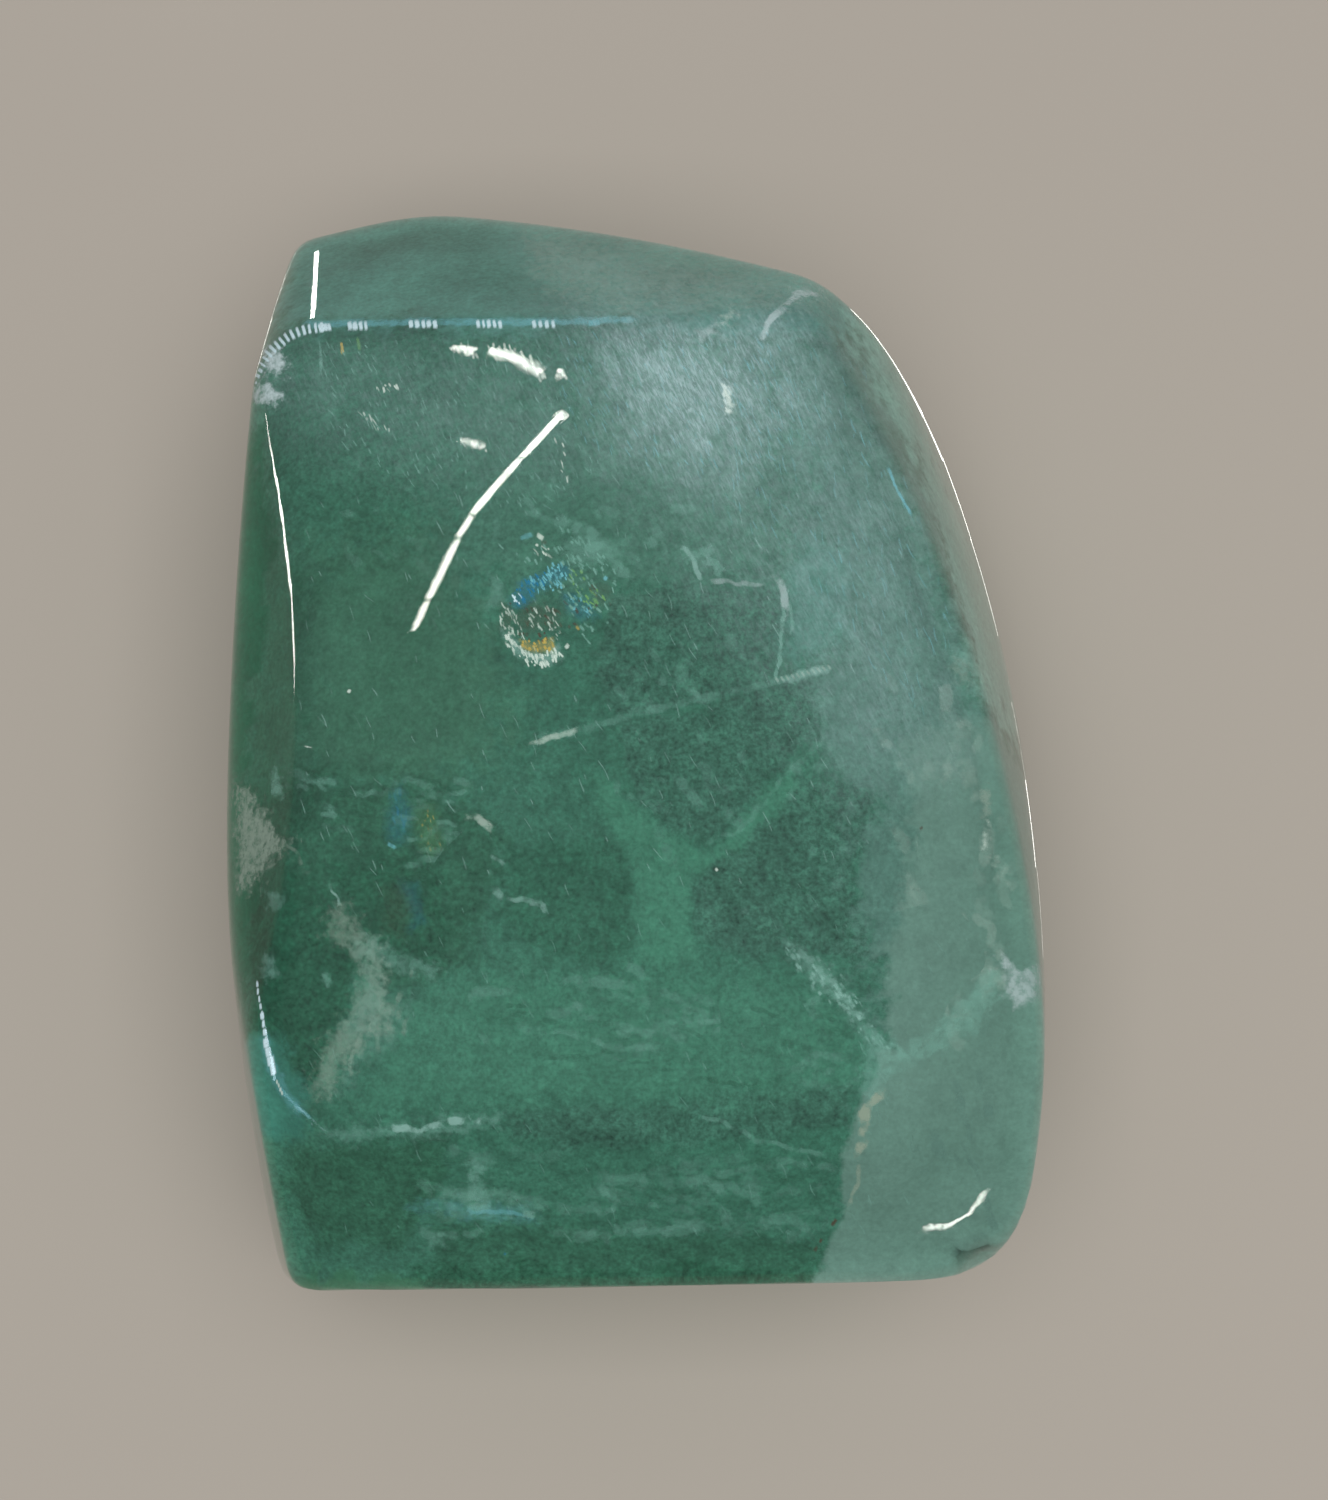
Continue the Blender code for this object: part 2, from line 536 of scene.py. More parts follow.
def polished_fluorite(colours):
    """Fluorite, ground and tumbled to a gloss: the lamps show sharp but faintly scratched in it."""
    material = new_material("polished_fluorite")
    tree = material.node_tree
    scratches = noise_of(tree, SCRATCH_SIZE, detail=3.0, turn=SCRATCH_TURN)
    depth = SCRATCH_DEPTH * MM
    inputs = {"Height": scratches, "Strength": SCRATCH_STRENGTH, "Distance": depth}
    scratched = add_node(tree, "ShaderNodeBump", inputs)
    blotches = noise_of(tree, MARK_AND_SHEEN_BLOTCH, detail=6.0, turn=MARK_AND_SHEEN_TURN, bend=0.8)
    streaks = noise_of(tree, MARK_AND_SHEEN_STREAK, detail=4.0, turn=MARK_AND_SHEEN_TURN, bend=0.7)
    # Part of the light turns matt and white where the polish marks lie: real scratches, and a painted sheen
    # of reflected light.
    inputs = {0: painted(tree, "polish_marks_and_sheen")[0], 1: ramp(tree, streaks, *STREAK_SHARES)}
    scattered = add_node(tree, "ShaderNodeMath", inputs, operation="MULTIPLY")
    inputs = {0: scattered, 1: ramp(tree, blotches, *BLOTCH_SHARES)}
    share = add_node(tree, "ShaderNodeMath", inputs, operation="MULTIPLY", use_clamp=True)
    share_left_clear = add_node(tree, "ShaderNodeMath", {0: 1.0, 1: share}, operation="SUBTRACT")
    glossy = add_node(
        tree,
        "ShaderNodeBsdfPrincipled",
        {
            "Base Color": (*colours.polish_marks_and_sheen, 1.0),
            "Roughness": ramp(tree, scratches, 0.0, 1.0, *GLOSS_ROUGHNESS),
            "IOR": FLUORITE_IOR,
            "Transmission Weight": share_left_clear,
            "Normal": scratched,
        },
    )
    density, tint = absorption(colours.clear)
    clear = add_node(tree, "ShaderNodeVolumeAbsorption", {"Color": tint, "Density": density})
    add_node(tree, "ShaderNodeOutputMaterial", {"Surface": glossy, "Volume": clear})
    return material


class FLUORITE_OT_polish_skin(bpy.types.Operator):
    """Grinds the stone's fine polished surface, in place of the plain solid"""

    bl_idname = "fluorite.polish_skin"
    bl_label = "Polish the skin"

    def execute(self, context):
        mesh = ruled_block(context.scene.fluorite_sizes)
        rays = heart_rays(mesh)
        points = np.clip((HEART + rays * surface_reach(rays)[:, None]) * MM, *CAD_BOX)
        put_points(mesh, points)
        mesh.shade_smooth()
        upward = mesh_values(mesh.vertex_normals, "vector")[:, 2]
        # The polish marks are painted strongest where a haze of reflected light lies: a painted sheen.
        put_attribute(mesh, "polish_marks_and_sheen", polish_marks_and_sheen_cover(torn_pixels(points, picture_pixels(points)), upward))
        skin = new_piece(SKIN_NAME, mesh, polished_fluorite(context.scene.fluorite_colours))
        skin.visible_shadow = False
        skin.visible_diffuse = False
        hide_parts(NODE)
        return {"FINISHED"}


# ---------------------------------------------------------------- cloudy growth

GROWTH_NAME = "cloudy_growth"
BASE_TONE = "sea"
GROWTH_PATCHES = (
    Patch("calm", 1.0, 40, ((270, 560), (420, 520), (500, 640), (520, 740), (420, 790), (270, 780))),
    Patch("moss", 0.8, 16, ((240, 775), (420, 768), (500, 840), (470, 960), (400, 990), (240, 930))),
    Patch("moss", 0.3, 30, ((250, 420), (290, 400), (420, 470), (410, 560), (300, 600))),
    Patch("deep", 1.0, 10, ((256, 884), (316, 862), (340, 905), (352, 960), (350, 1010), (318, 1062),
        (300, 1090), (262, 1040), (246, 960))),
    Patch("deep", 0.9, 14, ((330, 862), (392, 850), (440, 870), (452, 930), (420, 972), (372, 950))),
    Patch("deep", 0.5, 10, ((500, 850), (566, 838), (628, 838), (637, 947), (610, 968), (540, 950),
        (500, 920))),
    Patch("sugar", 1.0, 5, ((612, 600), (674, 588), (703, 584), (780, 590), (776, 682), (700, 700),
        (620, 716), (600, 660))),
    Patch("sugar", 1.0, 5, ((622, 724), (776, 686), (828, 676), (822, 730), (790, 760), (760, 796),
        (734, 820), (710, 839), (677, 834), (634, 800))),
    Patch("sugar", 1.0, 8, ((782, 777), (722, 850), (696, 877), (701, 934), (753, 958), (801, 949),
        (844, 960), (878, 960), (862, 915), (860, 880), (866, 845), (878, 796), (835, 776))),
    Patch("sugar", 0.9, 7, ((500, 1112), (640, 1105), (700, 1088), (850, 1086), (846, 1128),
        (700, 1138), (600, 1150), (510, 1140))),
    Patch("moss", 0.8, 10, ((286, 1142), (400, 1144), (450, 1146), (440, 1200), (400, 1250),
        (320, 1240), (284, 1200))),
    Patch("moss", 0.6, 12, ((430, 1222), (640, 1232), (830, 1236), (800, 1276), (440, 1280))),
    Patch("bright", 1.0, 6, ((634, 808), (677, 842), (712, 848), (742, 828), (790, 768), (800, 790),
        (740, 850), (700, 870), (640, 850))),
    Patch("bright", 1.0, 6, ((590, 770), (632, 812), (690, 862), (694, 930), (702, 965), (640, 968),
        (634, 870), (600, 820))),
    Patch("bright", 0.65, 20, ((400, 1000), (480, 965), (620, 975), (800, 975), (880, 1060),
        (860, 1090), (640, 1100), (450, 1115), (350, 1115), (376, 1050))),
    Patch("deep", 1.0, 8, ((380, 1266), (840, 1264), (840, 1330), (380, 1330))),
    Patch("mint", 0.5, 12, ((840, 320), (882, 400), (908, 450), (932, 520), (950, 600), (962, 660),
        (1000, 740), (1080, 740), (1080, 600), (960, 280), (860, 260))),
    Patch("corner", 1.0, 7, ((240, 1225), (278, 1234), (317, 1262), (408, 1275), (420, 1330),
        (240, 1330))),
    Patch("slate", 0.9, 45, ((780, 330), (860, 330), (905, 420), (880, 450), (960, 600), (1010, 760),
        (1070, 960), (1070, 1300), (900, 1200), (872, 760), (830, 640))),
    Patch("slate", 0.9, 12, ((820, 676), (860, 668), (930, 780), (930, 960), (886, 975), (862, 915),
        (860, 880), (866, 845), (880, 795), (838, 774), (822, 740))),
    Patch("grey", 1.0, 10, ((900, 740), (960, 720), (1070, 800), (1070, 1060), (900, 1066), (880, 1030),
        (886, 960), (905, 920), (915, 850))),
    Patch("grey", 1.0, 4, ((874, 1050), (960, 1050), (1070, 1060), (1070, 1310), (798, 1310),
        (835, 1218), (843, 1160), (862, 1110))),
    Patch("crest", 1.0, 12, ((270, 240), (600, 200), (860, 250), (840, 330), (640, 326), (290, 330))),
    Patch("grey", 0.8, 30, ((560, 220), (870, 250), (850, 322), (640, 316))),
    Patch("edge", 1.0, 10, ((200, 430), (262, 430), (278, 560), (274, 700), (262, 780), (256, 900),
        (252, 1000), (256, 1045), (200, 1045))),
    Patch("toe", 1.0, 9, ((200, 1040), (256, 1035), (274, 1042), (292, 1066), (308, 1092), (314, 1122),
        (300, 1136), (240, 1150), (200, 1100))),
    Patch("edge", 0.35, 12, ((250, 560), (294, 560), (300, 700), (298, 860), (286, 960), (264, 1040),
        (250, 1040))),
    Patch("grey", 0.22, 50, ((440, 400), (760, 360), (790, 560), (620, 600), (430, 580))),
    Patch("grey", 0.6, 30, ((820, 350), (880, 360), (960, 540), (930, 560), (860, 460))),
    Patch("crest", 0.5, 12, ((790, 540), (850, 540), (850, 640), (800, 668), (783, 640))),
)
# The tones in the order in which they lie over each other, and how sugary the growth looks in
# each, from smooth (0) to coarse (1).
GRAIN = {
    BASE_TONE: 0.6,
    "calm": 0.4,
    "moss": 0.8,
    "deep": 0.9,
    "sugar": 1.0,
    "bright": 0.45,
    "slate": 0.35,
    "grey": 0.15,
    "crest": 0.3,
    "edge": 0.3,
    "toe": 0.3,
    "corner": 0.2,
    "mint": 0.2,
}
# How far the clear stone's green and the two looks through its surface dim what lies under it.
SEEN_SHARE = (0.84, 0.78, 0.80)
# How much brighter the growth is painted down the sides, as painted light where light comes in from two
# ways, what share of the clear stone's depth is left there, and how much further the zones drift about.
EDGE_GLOW = 0.35
SIDE_SHARE = 0.12
SIDE_DRIFT = 5.0
# How much a face looks up where it starts and stops being a side, the lumps in millimetres by which
# the clear stone's depth wavers, and their seed.
SIDE_FACING = 0.1
TOP_FACING = 0.7
WAVER_SIZE = 7.0
WAVER_SEED = 1
NOWHERE = -9.0


def tone_field(pixels, tone):
    """How far inside a tone's patches each point lies, in soft edges, and how strong the tone is."""
    field = np.full(len(pixels), NOWHERE)
    strength = np.zeros(len(pixels))
    for patch in GROWTH_PATCHES:
        if patch.tone == tone:
            inside = 0.5 + depth_inside(pixels, patch.outline) / (2 * patch.soft)
            strength = np.where(inside > field, patch.strength, strength)
            field = np.maximum(field, inside)
    return np.clip(field, -1.0, 2.0), strength


def showing_pixels(mesh, points, depth):
    """The pixels at which points depth metres under the skin show, raised by its bending."""
    normals = mesh_values(mesh.vertex_normals, "vector")
    raised = depth[:, None] * (1.0 - 1.0 / FLUORITE_IOR)
    return picture_pixels(points + normals * raised)


# The growth's mottling: the lumps' size in millimetres, their detail, and how strong they are where
# the growth is smooth and where it is coarse.
MOTTLING = ((0.35, 3.0, 0.2, 2.0), (1.0, 4.0, 0.15, 1.4), (3.0, 5.0, 0.3, 0.9))
# The lumps by which the zones' edges are torn and how far, in soft edges, the size of the bright
# wisps in millimetres and how they shade the growth, as above for the streaks, and an index of
# refraction low enough to leave no gloss inside the stone.
ZONE_LUMP = (1.3, 1.3, 1.3)
ZONE_TEAR = 2.4
WISP_SIZE = (4.0, 1.2, 4.0)
WISP_SHADES = (0.8, 1.7, 0.95, 1.25)
MATT_IOR = 1.1


def seen_tone(colour):
    """A tone as the growth itself has it: paler, by what the clear stone takes away."""
    return (*(part / share for part, share in zip(colour, SEEN_SHARE)), 1.0)


def cloudy_growth(colours):
    """Fluorite grown cloudy: full of specks too small to see, it glows softly like wax."""
    material = new_material("cloudy_growth")
    tree = material.node_tree
    torn = noise_of(tree, ZONE_LUMP, detail=6.0)
    tone = seen_tone(getattr(colours, BASE_TONE))
    grain = GRAIN[BASE_TONE]
    for name in list(GRAIN)[1:]:
        field, strength = painted(tree, name)
        inputs = {0: torn, 1: ZONE_TEAR, 2: field}
        edge = add_node(tree, "ShaderNodeMath", inputs, operation="MULTIPLY_ADD")
        inside = ramp(tree, edge, ZONE_TEAR / 2, ZONE_TEAR / 2 + 1.0, 0.0, 1.0, "SMOOTHSTEP")
        cover = add_node(tree, "ShaderNodeMath", {0: inside, 1: strength}, operation="MULTIPLY")
        inputs = {0: cover, MIX_FIRST: tone, MIX_SECOND: seen_tone(getattr(colours, name))}
        tone = add_node(tree, "ShaderNodeMix", inputs, data_type="RGBA").outputs[MIX_RESULT]
        grain = add_node(tree, "ShaderNodeMix", {0: cover, 2: grain, 3: GRAIN[name]})
    shade = painted(tree, "glow")[0]
    for size, detail, at_smooth, at_coarse in MOTTLING:
        pattern = noise_of(tree, (size, size, size), detail)
        centred = add_node(tree, "ShaderNodeMath", {0: pattern, 1: 0.5}, operation="SUBTRACT")
        inputs = {0: centred, 1: ramp(tree, grain, 0.0, 1.0, at_smooth, at_coarse), 2: 1.0}
        stronger = add_node(tree, "ShaderNodeMath", inputs, operation="MULTIPLY_ADD")
        shade = add_node(tree, "ShaderNodeMath", {0: shade, 1: stronger}, operation="MULTIPLY")
    wisps = noise_of(tree, WISP_SIZE, detail=6.0, turn=-8, noise_type="RIDGED_MULTIFRACTAL")
    threads = ramp(tree, wisps, *WISP_SHADES)
    shade = add_node(tree, "ShaderNodeMath", {0: shade, 1: threads}, operation="MULTIPLY")
    mottled = add_node(tree, "ShaderNodeVectorMath", {0: tone, "Scale": shade}, operation="SCALE")
    inputs = {"Base Color": mottled, "Roughness": 0.8, "IOR": MATT_IOR}
    waxy = add_node(tree, "ShaderNodeBsdfPrincipled", inputs)
    add_node(tree, "ShaderNodeOutputMaterial", {"Surface": waxy})
    return material


class FLUORITE_OT_grow_clouds(bpy.types.Operator):
    """Fills the stone with its cloudy growth, under a few millimetres of clear stone"""

    bl_idname = "fluorite.grow_clouds"
    bl_label = "Grow the clouds"

    def execute(self, context):
        sizes = context.scene.fluorite_sizes
        colours = context.scene.fluorite_colours
        mesh = ruled_block(sizes)
        rays = heart_rays(mesh)
        skin = surface_reach(rays)
        rounded = surface_reach(rays, sizes.growth_round / MM)
        rough = HEART + rays * rounded[:, None]
        wavering = sizes.clear_waver / MM * waver(rough * MM, WAVER_SIZE, WAVER_SEED)
        upward = skin_normals(rays * skin[:, None])[:, 2]
        top = smooth_step((upward - SIDE_FACING) / (TOP_FACING - SIDE_FACING))
        inset = (sizes.clear_depth / MM + wavering) * (SIDE_SHARE + (1.0 - SIDE_SHARE) * top)
        growth = np.minimum(rounded - inset, skin - SHALLOWEST)
        points = (HEART + rays * growth[:, None]) * MM
        put_points(mesh, points)
        mesh.shade_smooth()
        depth = (skin - growth) * MM
        sideways = 1.0 - np.maximum(upward, 0.0)
        drift = 1.0 + SIDE_DRIFT * sideways**2
        pixels = torn_pixels(points, showing_pixels(mesh, points, depth), drift)
        for tone in list(GRAIN)[1:]:
            put_attribute(mesh, tone, *tone_field(pixels, tone))
        # Painted light: the growth's colour is raised the more a face looks sideways.
        put_attribute(mesh, "glow", 1.0 + EDGE_GLOW * sideways**1.5)
        new_piece(GROWTH_NAME, mesh, cloudy_growth(colours))
        return {"FINISHED"}


# ---------------------------------------------------------------- sheets and ribbons inside the stone

# A pixel's width on the stone's face in metres, and the least clear stone over a sheet in
# millimetres.
PIXEL = 0.073 * MM
SHALLOWEST = 0.15
# How far a veil's edge is torn and how far its mesh goes past it, in pixels, and the lumps by which
# it is torn and dips, in millimetres.
VEIL_TEAR = 7.0
EDGE_SLACK = 8.0
TEAR_SIZE = 1.6
DIP_SIZE = 5.0
# The lumps by which a vein wanders, swells and breaks off, in millimetres, how much it swells, and
# how far it comes and goes for each pixel that it wanders.
WANDER_SIZE = 0.9
SWELL_SIZE = 1.2
BREAK_SIZE = 0.8
SWELL = 0.5
BREAKS = 0.28
# Over how many pixels a vein's ends fade, over how much of it at the most, and how far the fade has
# come at its very end. Then how its cover falls off from its middle to its edges.
VEIN_FADE = 12.0
FADE_SHARE = 0.25
FADE_START = 0.2
VEIN_ACROSS = ((-1.0, 0.0), (-0.5, 0.8), (0.0, 1.0), (0.5, 0.8), (1.0, 0.0))
# The fewest runs of a path, and how many times over its corners are rounded.
FEWEST_RUNS = 3
CORNER_ROUNDS = 3


class Sheets:
    """Gathers thin sheets inside the stone into one mesh, with how far each point is covered."""

    def __init__(self, sight):
        self.sight = sight
        self.points = []
        self.faces = []
        self.cover = []
        self.strength = []
        self.tones = []

    def add(self, pixels, depths, cover, look, faces):
        """Adds a sheet that shows at pixels from depths millimetres down, cut off at the skin."""
        places = {}
        for corner in sorted({corner for face in faces for corner in face}):
            point = self.sight.at(*pixels[corner], depths[corner])
            if point is not None:
                places[corner] = len(self.points)
                self.points.append(point)
                self.cover.append(cover[corner])
                self.strength.append(look.strength)
                self.tones.append(look.tone)
        kept = [face for face in faces if all(corner in places for corner in face)]
        self.faces.extend(tuple(places[corner] for corner in face) for face in kept)

    def add_veil(self, veil, step, seed):
        """A sheet whose torn outline is a patch's."""
        low = np.min(veil.outline, axis=0) - veil.soft - EDGE_SLACK
        high = np.max(veil.outline, axis=0) + veil.soft + EDGE_SLACK
        columns = np.arange(low[0], high[0], step)
        rows = np.arange(low[1], high[1], step)
        pixels = np.array([(across, down) for down in rows for across in columns])
        flat = np.concatenate([pixels * PIXEL, np.zeros((len(pixels), 1))], axis=1)
        torn = pixels + VEIL_TEAR * waver_pair(flat, TEAR_SIZE, seed)
        cover = patch_cover(torn, Patch(veil.tone, 1.0, veil.soft, veil.outline))
        depths = veil.depth + veil.dip * waver(flat, DIP_SIZE, seed + 2)
        width = len(columns)
        corners = (0, 1, width + 1, width)
        starts = [row * width + column for row in range(len(rows) - 1) for column in range(width - 1)]
        faces = [tuple(start + corner for corner in corners) for start in starts]
        faces = [face for face in faces if max(cover[corner] for corner in face) > 0]
        self.add(pixels, np.maximum(depths, SHALLOWEST), cover, veil, faces)

    def add_vein(self, vein, step, seed):
        """A ribbon that follows a line of pixels, swelling and thinning."""
        middle = spread_along(vein.path, step)
        flat = np.concatenate([middle * PIXEL, np.zeros((len(middle), 1))], axis=1)
        middle = middle + vein.wander * waver_pair(flat, WANDER_SIZE, seed)
        run = np.gradient(middle, axis=0)
        side = np.stack([-run[:, 1], run[:, 0]], axis=1) / np.linalg.norm(run, axis=1)[:, None]
        swell = vein.width / 2 * (1.0 + SWELL * waver(flat, SWELL_SIZE, seed + 2))
        ends = np.minimum(np.arange(len(middle)), np.arange(len(middle))[::-1])
        fade = smooth_step((ends + FADE_START) / min(VEIN_FADE / step, FADE_SHARE * len(middle)))
        fade *= 1.0 + BREAKS * vein.wander * waver(flat, BREAK_SIZE, seed + 3)
        lanes = [middle + side * (across * swell)[:, None] for across, _ in VEIN_ACROSS]
        pixels = np.concatenate(lanes)
        cover = np.concatenate([share * fade for _, share in VEIN_ACROSS])
        count = len(middle)
        corners = (0, 1, count + 1, count)
        starts = [lane * count + index for lane in range(len(lanes) - 1) for index in range(count - 1)]
        faces = [tuple(start + corner for corner in corners) for start in starts]
        self.add(pixels, np.full(len(pixels), vein.depth), cover, vein, faces)

    def mesh(self, colours):
        mesh = bpy.data.meshes.new("sheets")
        mesh.from_pydata(self.points, [], self.faces)
        put_attribute(mesh, "cover", np.array(self.cover), np.array(self.strength))
        put_attribute(mesh, "tone", *np.array([getattr(colours, tone) for tone in self.tones]).T)
        mesh.shade_smooth()
        return mesh


def spread_along(path, step):
    """Points a step apart along a line of pixels, rounded at its corners."""
    path = np.array(path, dtype=float)
    lengths = np.concatenate([[0.0], np.cumsum(np.linalg.norm(np.diff(path, axis=0), axis=1))])
    along = np.linspace(0.0, lengths[-1], max(int(lengths[-1] / step), FEWEST_RUNS) + 1)
    points = np.stack([np.interp(along, lengths, path[:, axis]) for axis in (0, 1)], axis=1)
    for _ in range(CORNER_ROUNDS):
        points[1:-1] = (points[:-2] + 2.0 * points[1:-1] + points[2:]) / 4.0
    return points


# ---------------------------------------------------------------- veils and veins

# A veil: its tone, how thickly it covers, its soft edge in pixels, how deep it lies and dips in
# millimetres, and its outline. A vein: the same, with its width and wander in pixels, and its path.
Veil = namedtuple("Veil", "tone strength soft depth dip outline")
Vein = namedtuple("Vein", "tone strength width wander depth path")
VEILS = {
    "left_edge": Veil("veil", 1.0, 10, 0.5, 0.2, ((236, 780), (246, 792), (257, 805), (278, 833),
        (288, 842), (280, 855), (266, 867), (253, 883), (236, 894))),
    "left_sliver": Veil("haze", 0.7, 4, 0.8, 0.2, ((276, 764), (283, 766), (282, 790), (277, 802),
        (272, 792))),
    "torn_gauze": Veil("veil", 0.4, 12, 0.9, 0.3, ((328, 908), (344, 901), (362, 924), (380, 951),
        (387, 978), (389, 1005), (398, 1033), (366, 1037), (362, 1055), (339, 1069), (332, 1096),
        (316, 1103), (312, 1087), (323, 1046), (344, 1019), (355, 996), (357, 974), (350, 955),
        (334, 940))),
    "gauze_core": Veil("haze", 0.24, 8, 0.85, 0.3, ((352, 938), (366, 940), (380, 965), (386, 1000),
        (376, 1022), (352, 1040), (350, 1020), (362, 990), (360, 965))),
    "gauze_wisp": Veil("haze", 0.4, 10, 1.1, 0.3, ((358, 930), (400, 950), (436, 962), (434, 980),
        (396, 972), (366, 956))),
    "gauze_fringe": Veil("haze", 0.25, 10, 1.1, 0.3, ((380, 1000), (410, 1000), (404, 1040),
        (372, 1060), (350, 1090), (330, 1100))),
    "left_spot": Veil("haze", 0.45, 4, 0.5, 0.2, ((264, 893), (282, 895), (283, 910), (270, 912))),
    "left_spot_low": Veil("haze", 0.5, 5, 0.5, 0.2, ((262, 954), (276, 958), (273, 976), (262, 974))),
    "gauze_crumb": Veil("haze", 0.5, 4, 1.0, 0.2, ((320, 971), (332, 973), (330, 990), (322, 988))),
    "foot_feather": Veil("haze", 0.55, 5, 0.9, 0.2, ((474, 1157), (480, 1160), (488, 1190), (486, 1212),
        (470, 1214), (458, 1196), (466, 1180))),
    "foot_patch": Veil("haze", 0.4, 6, 1.0, 0.2, ((428, 1230), (442, 1232), (444, 1248), (430, 1250))),
    "blue_wash": Veil("ice", 0.18, 8, 0.9, 0.2, ((408, 1204), (460, 1200), (540, 1208), (536, 1222),
        (470, 1220), (410, 1214))),
    "foot_light": Veil("haze", 0.4, 9, 0.6, 0.2, ((320, 1128), (400, 1126), (446, 1118), (500, 1112),
        (500, 1126), (440, 1136), (330, 1142))),
    "mossy_head": Veil("mint", 0.25, 9, 1.2, 0.3, ((782, 942), (806, 950), (832, 968), (838, 990),
        (822, 986), (800, 968))),
    "mossy_body": Veil("mint", 0.22, 10, 1.2, 0.3, ((806, 958), (838, 978), (856, 1004), (876, 1030),
        (886, 1052), (866, 1044), (838, 1008), (816, 984))),
    "right_cloud": Veil("haze", 0.5, 12, 1.0, 0.3, ((882, 1056), (920, 1040), (960, 1010), (996, 972),
        (1002, 990), (980, 1024), (940, 1052), (890, 1072))),
    "fork": Veil("haze", 0.45, 9, 1.0, 0.3, ((862, 1030), (896, 1040), (890, 1080), (872, 1110),
        (862, 1090))),
    "corner_crack": Veil("crack", 1.0, 7, 0.3, 0.1, ((262, 350), (284, 350), (288, 362), (280, 376),
        (264, 374))),
    "corner_crack_low": Veil("crack", 1.0, 7, 0.3, 0.1, ((252, 385), (272, 382), (280, 394), (270, 410),
        (254, 406))),
    "right_crack": Veil("crack", 0.55, 7, 0.4, 0.1, ((1000, 955), (1020, 968), (1046, 966), (1042, 996),
        (1018, 1008), (1004, 988))),
    "right_spot": Veil("veil", 0.6, 4, 0.5, 0.2, ((982, 790), (992, 792), (990, 812), (982, 816))),
    "right_spot_low": Veil("pearl", 0.6, 3, 0.5, 0.2, ((984, 820), (988, 822), (989, 844), (984, 848))),
    "right_spot_high": Veil("veil", 0.4, 7, 0.8, 0.2, ((955, 655), (974, 660), (971, 692), (958, 680))),
    "top_patch": Veil("crack", 0.8, 4, 0.3, 0.1, ((790, 294), (815, 290), (820, 296), (800, 301),
        (788, 301))),
    "crest_cloud": Veil("veil", 0.4, 30, 0.5, 0.2, ((520, 226), (700, 236), (840, 282), (830, 306),
        (740, 312), (620, 312), (540, 290))),
    "top_blotch": Veil("pearl", 0.5, 5, 0.3, 0.1, ((723, 316), (738, 314), (740, 321), (726, 324))),
    "top_blotch_low": Veil("crack", 0.4, 6, 0.3, 0.1, ((698, 330), (716, 324), (722, 334), (702, 340))),
    # Painted highlight: a bright glint high on the broad face.
    "spark": Veil("pearl", 1.0, 3, 0.2, 0.1, ((720, 388), (729, 386), (732, 410), (724, 414))),
}
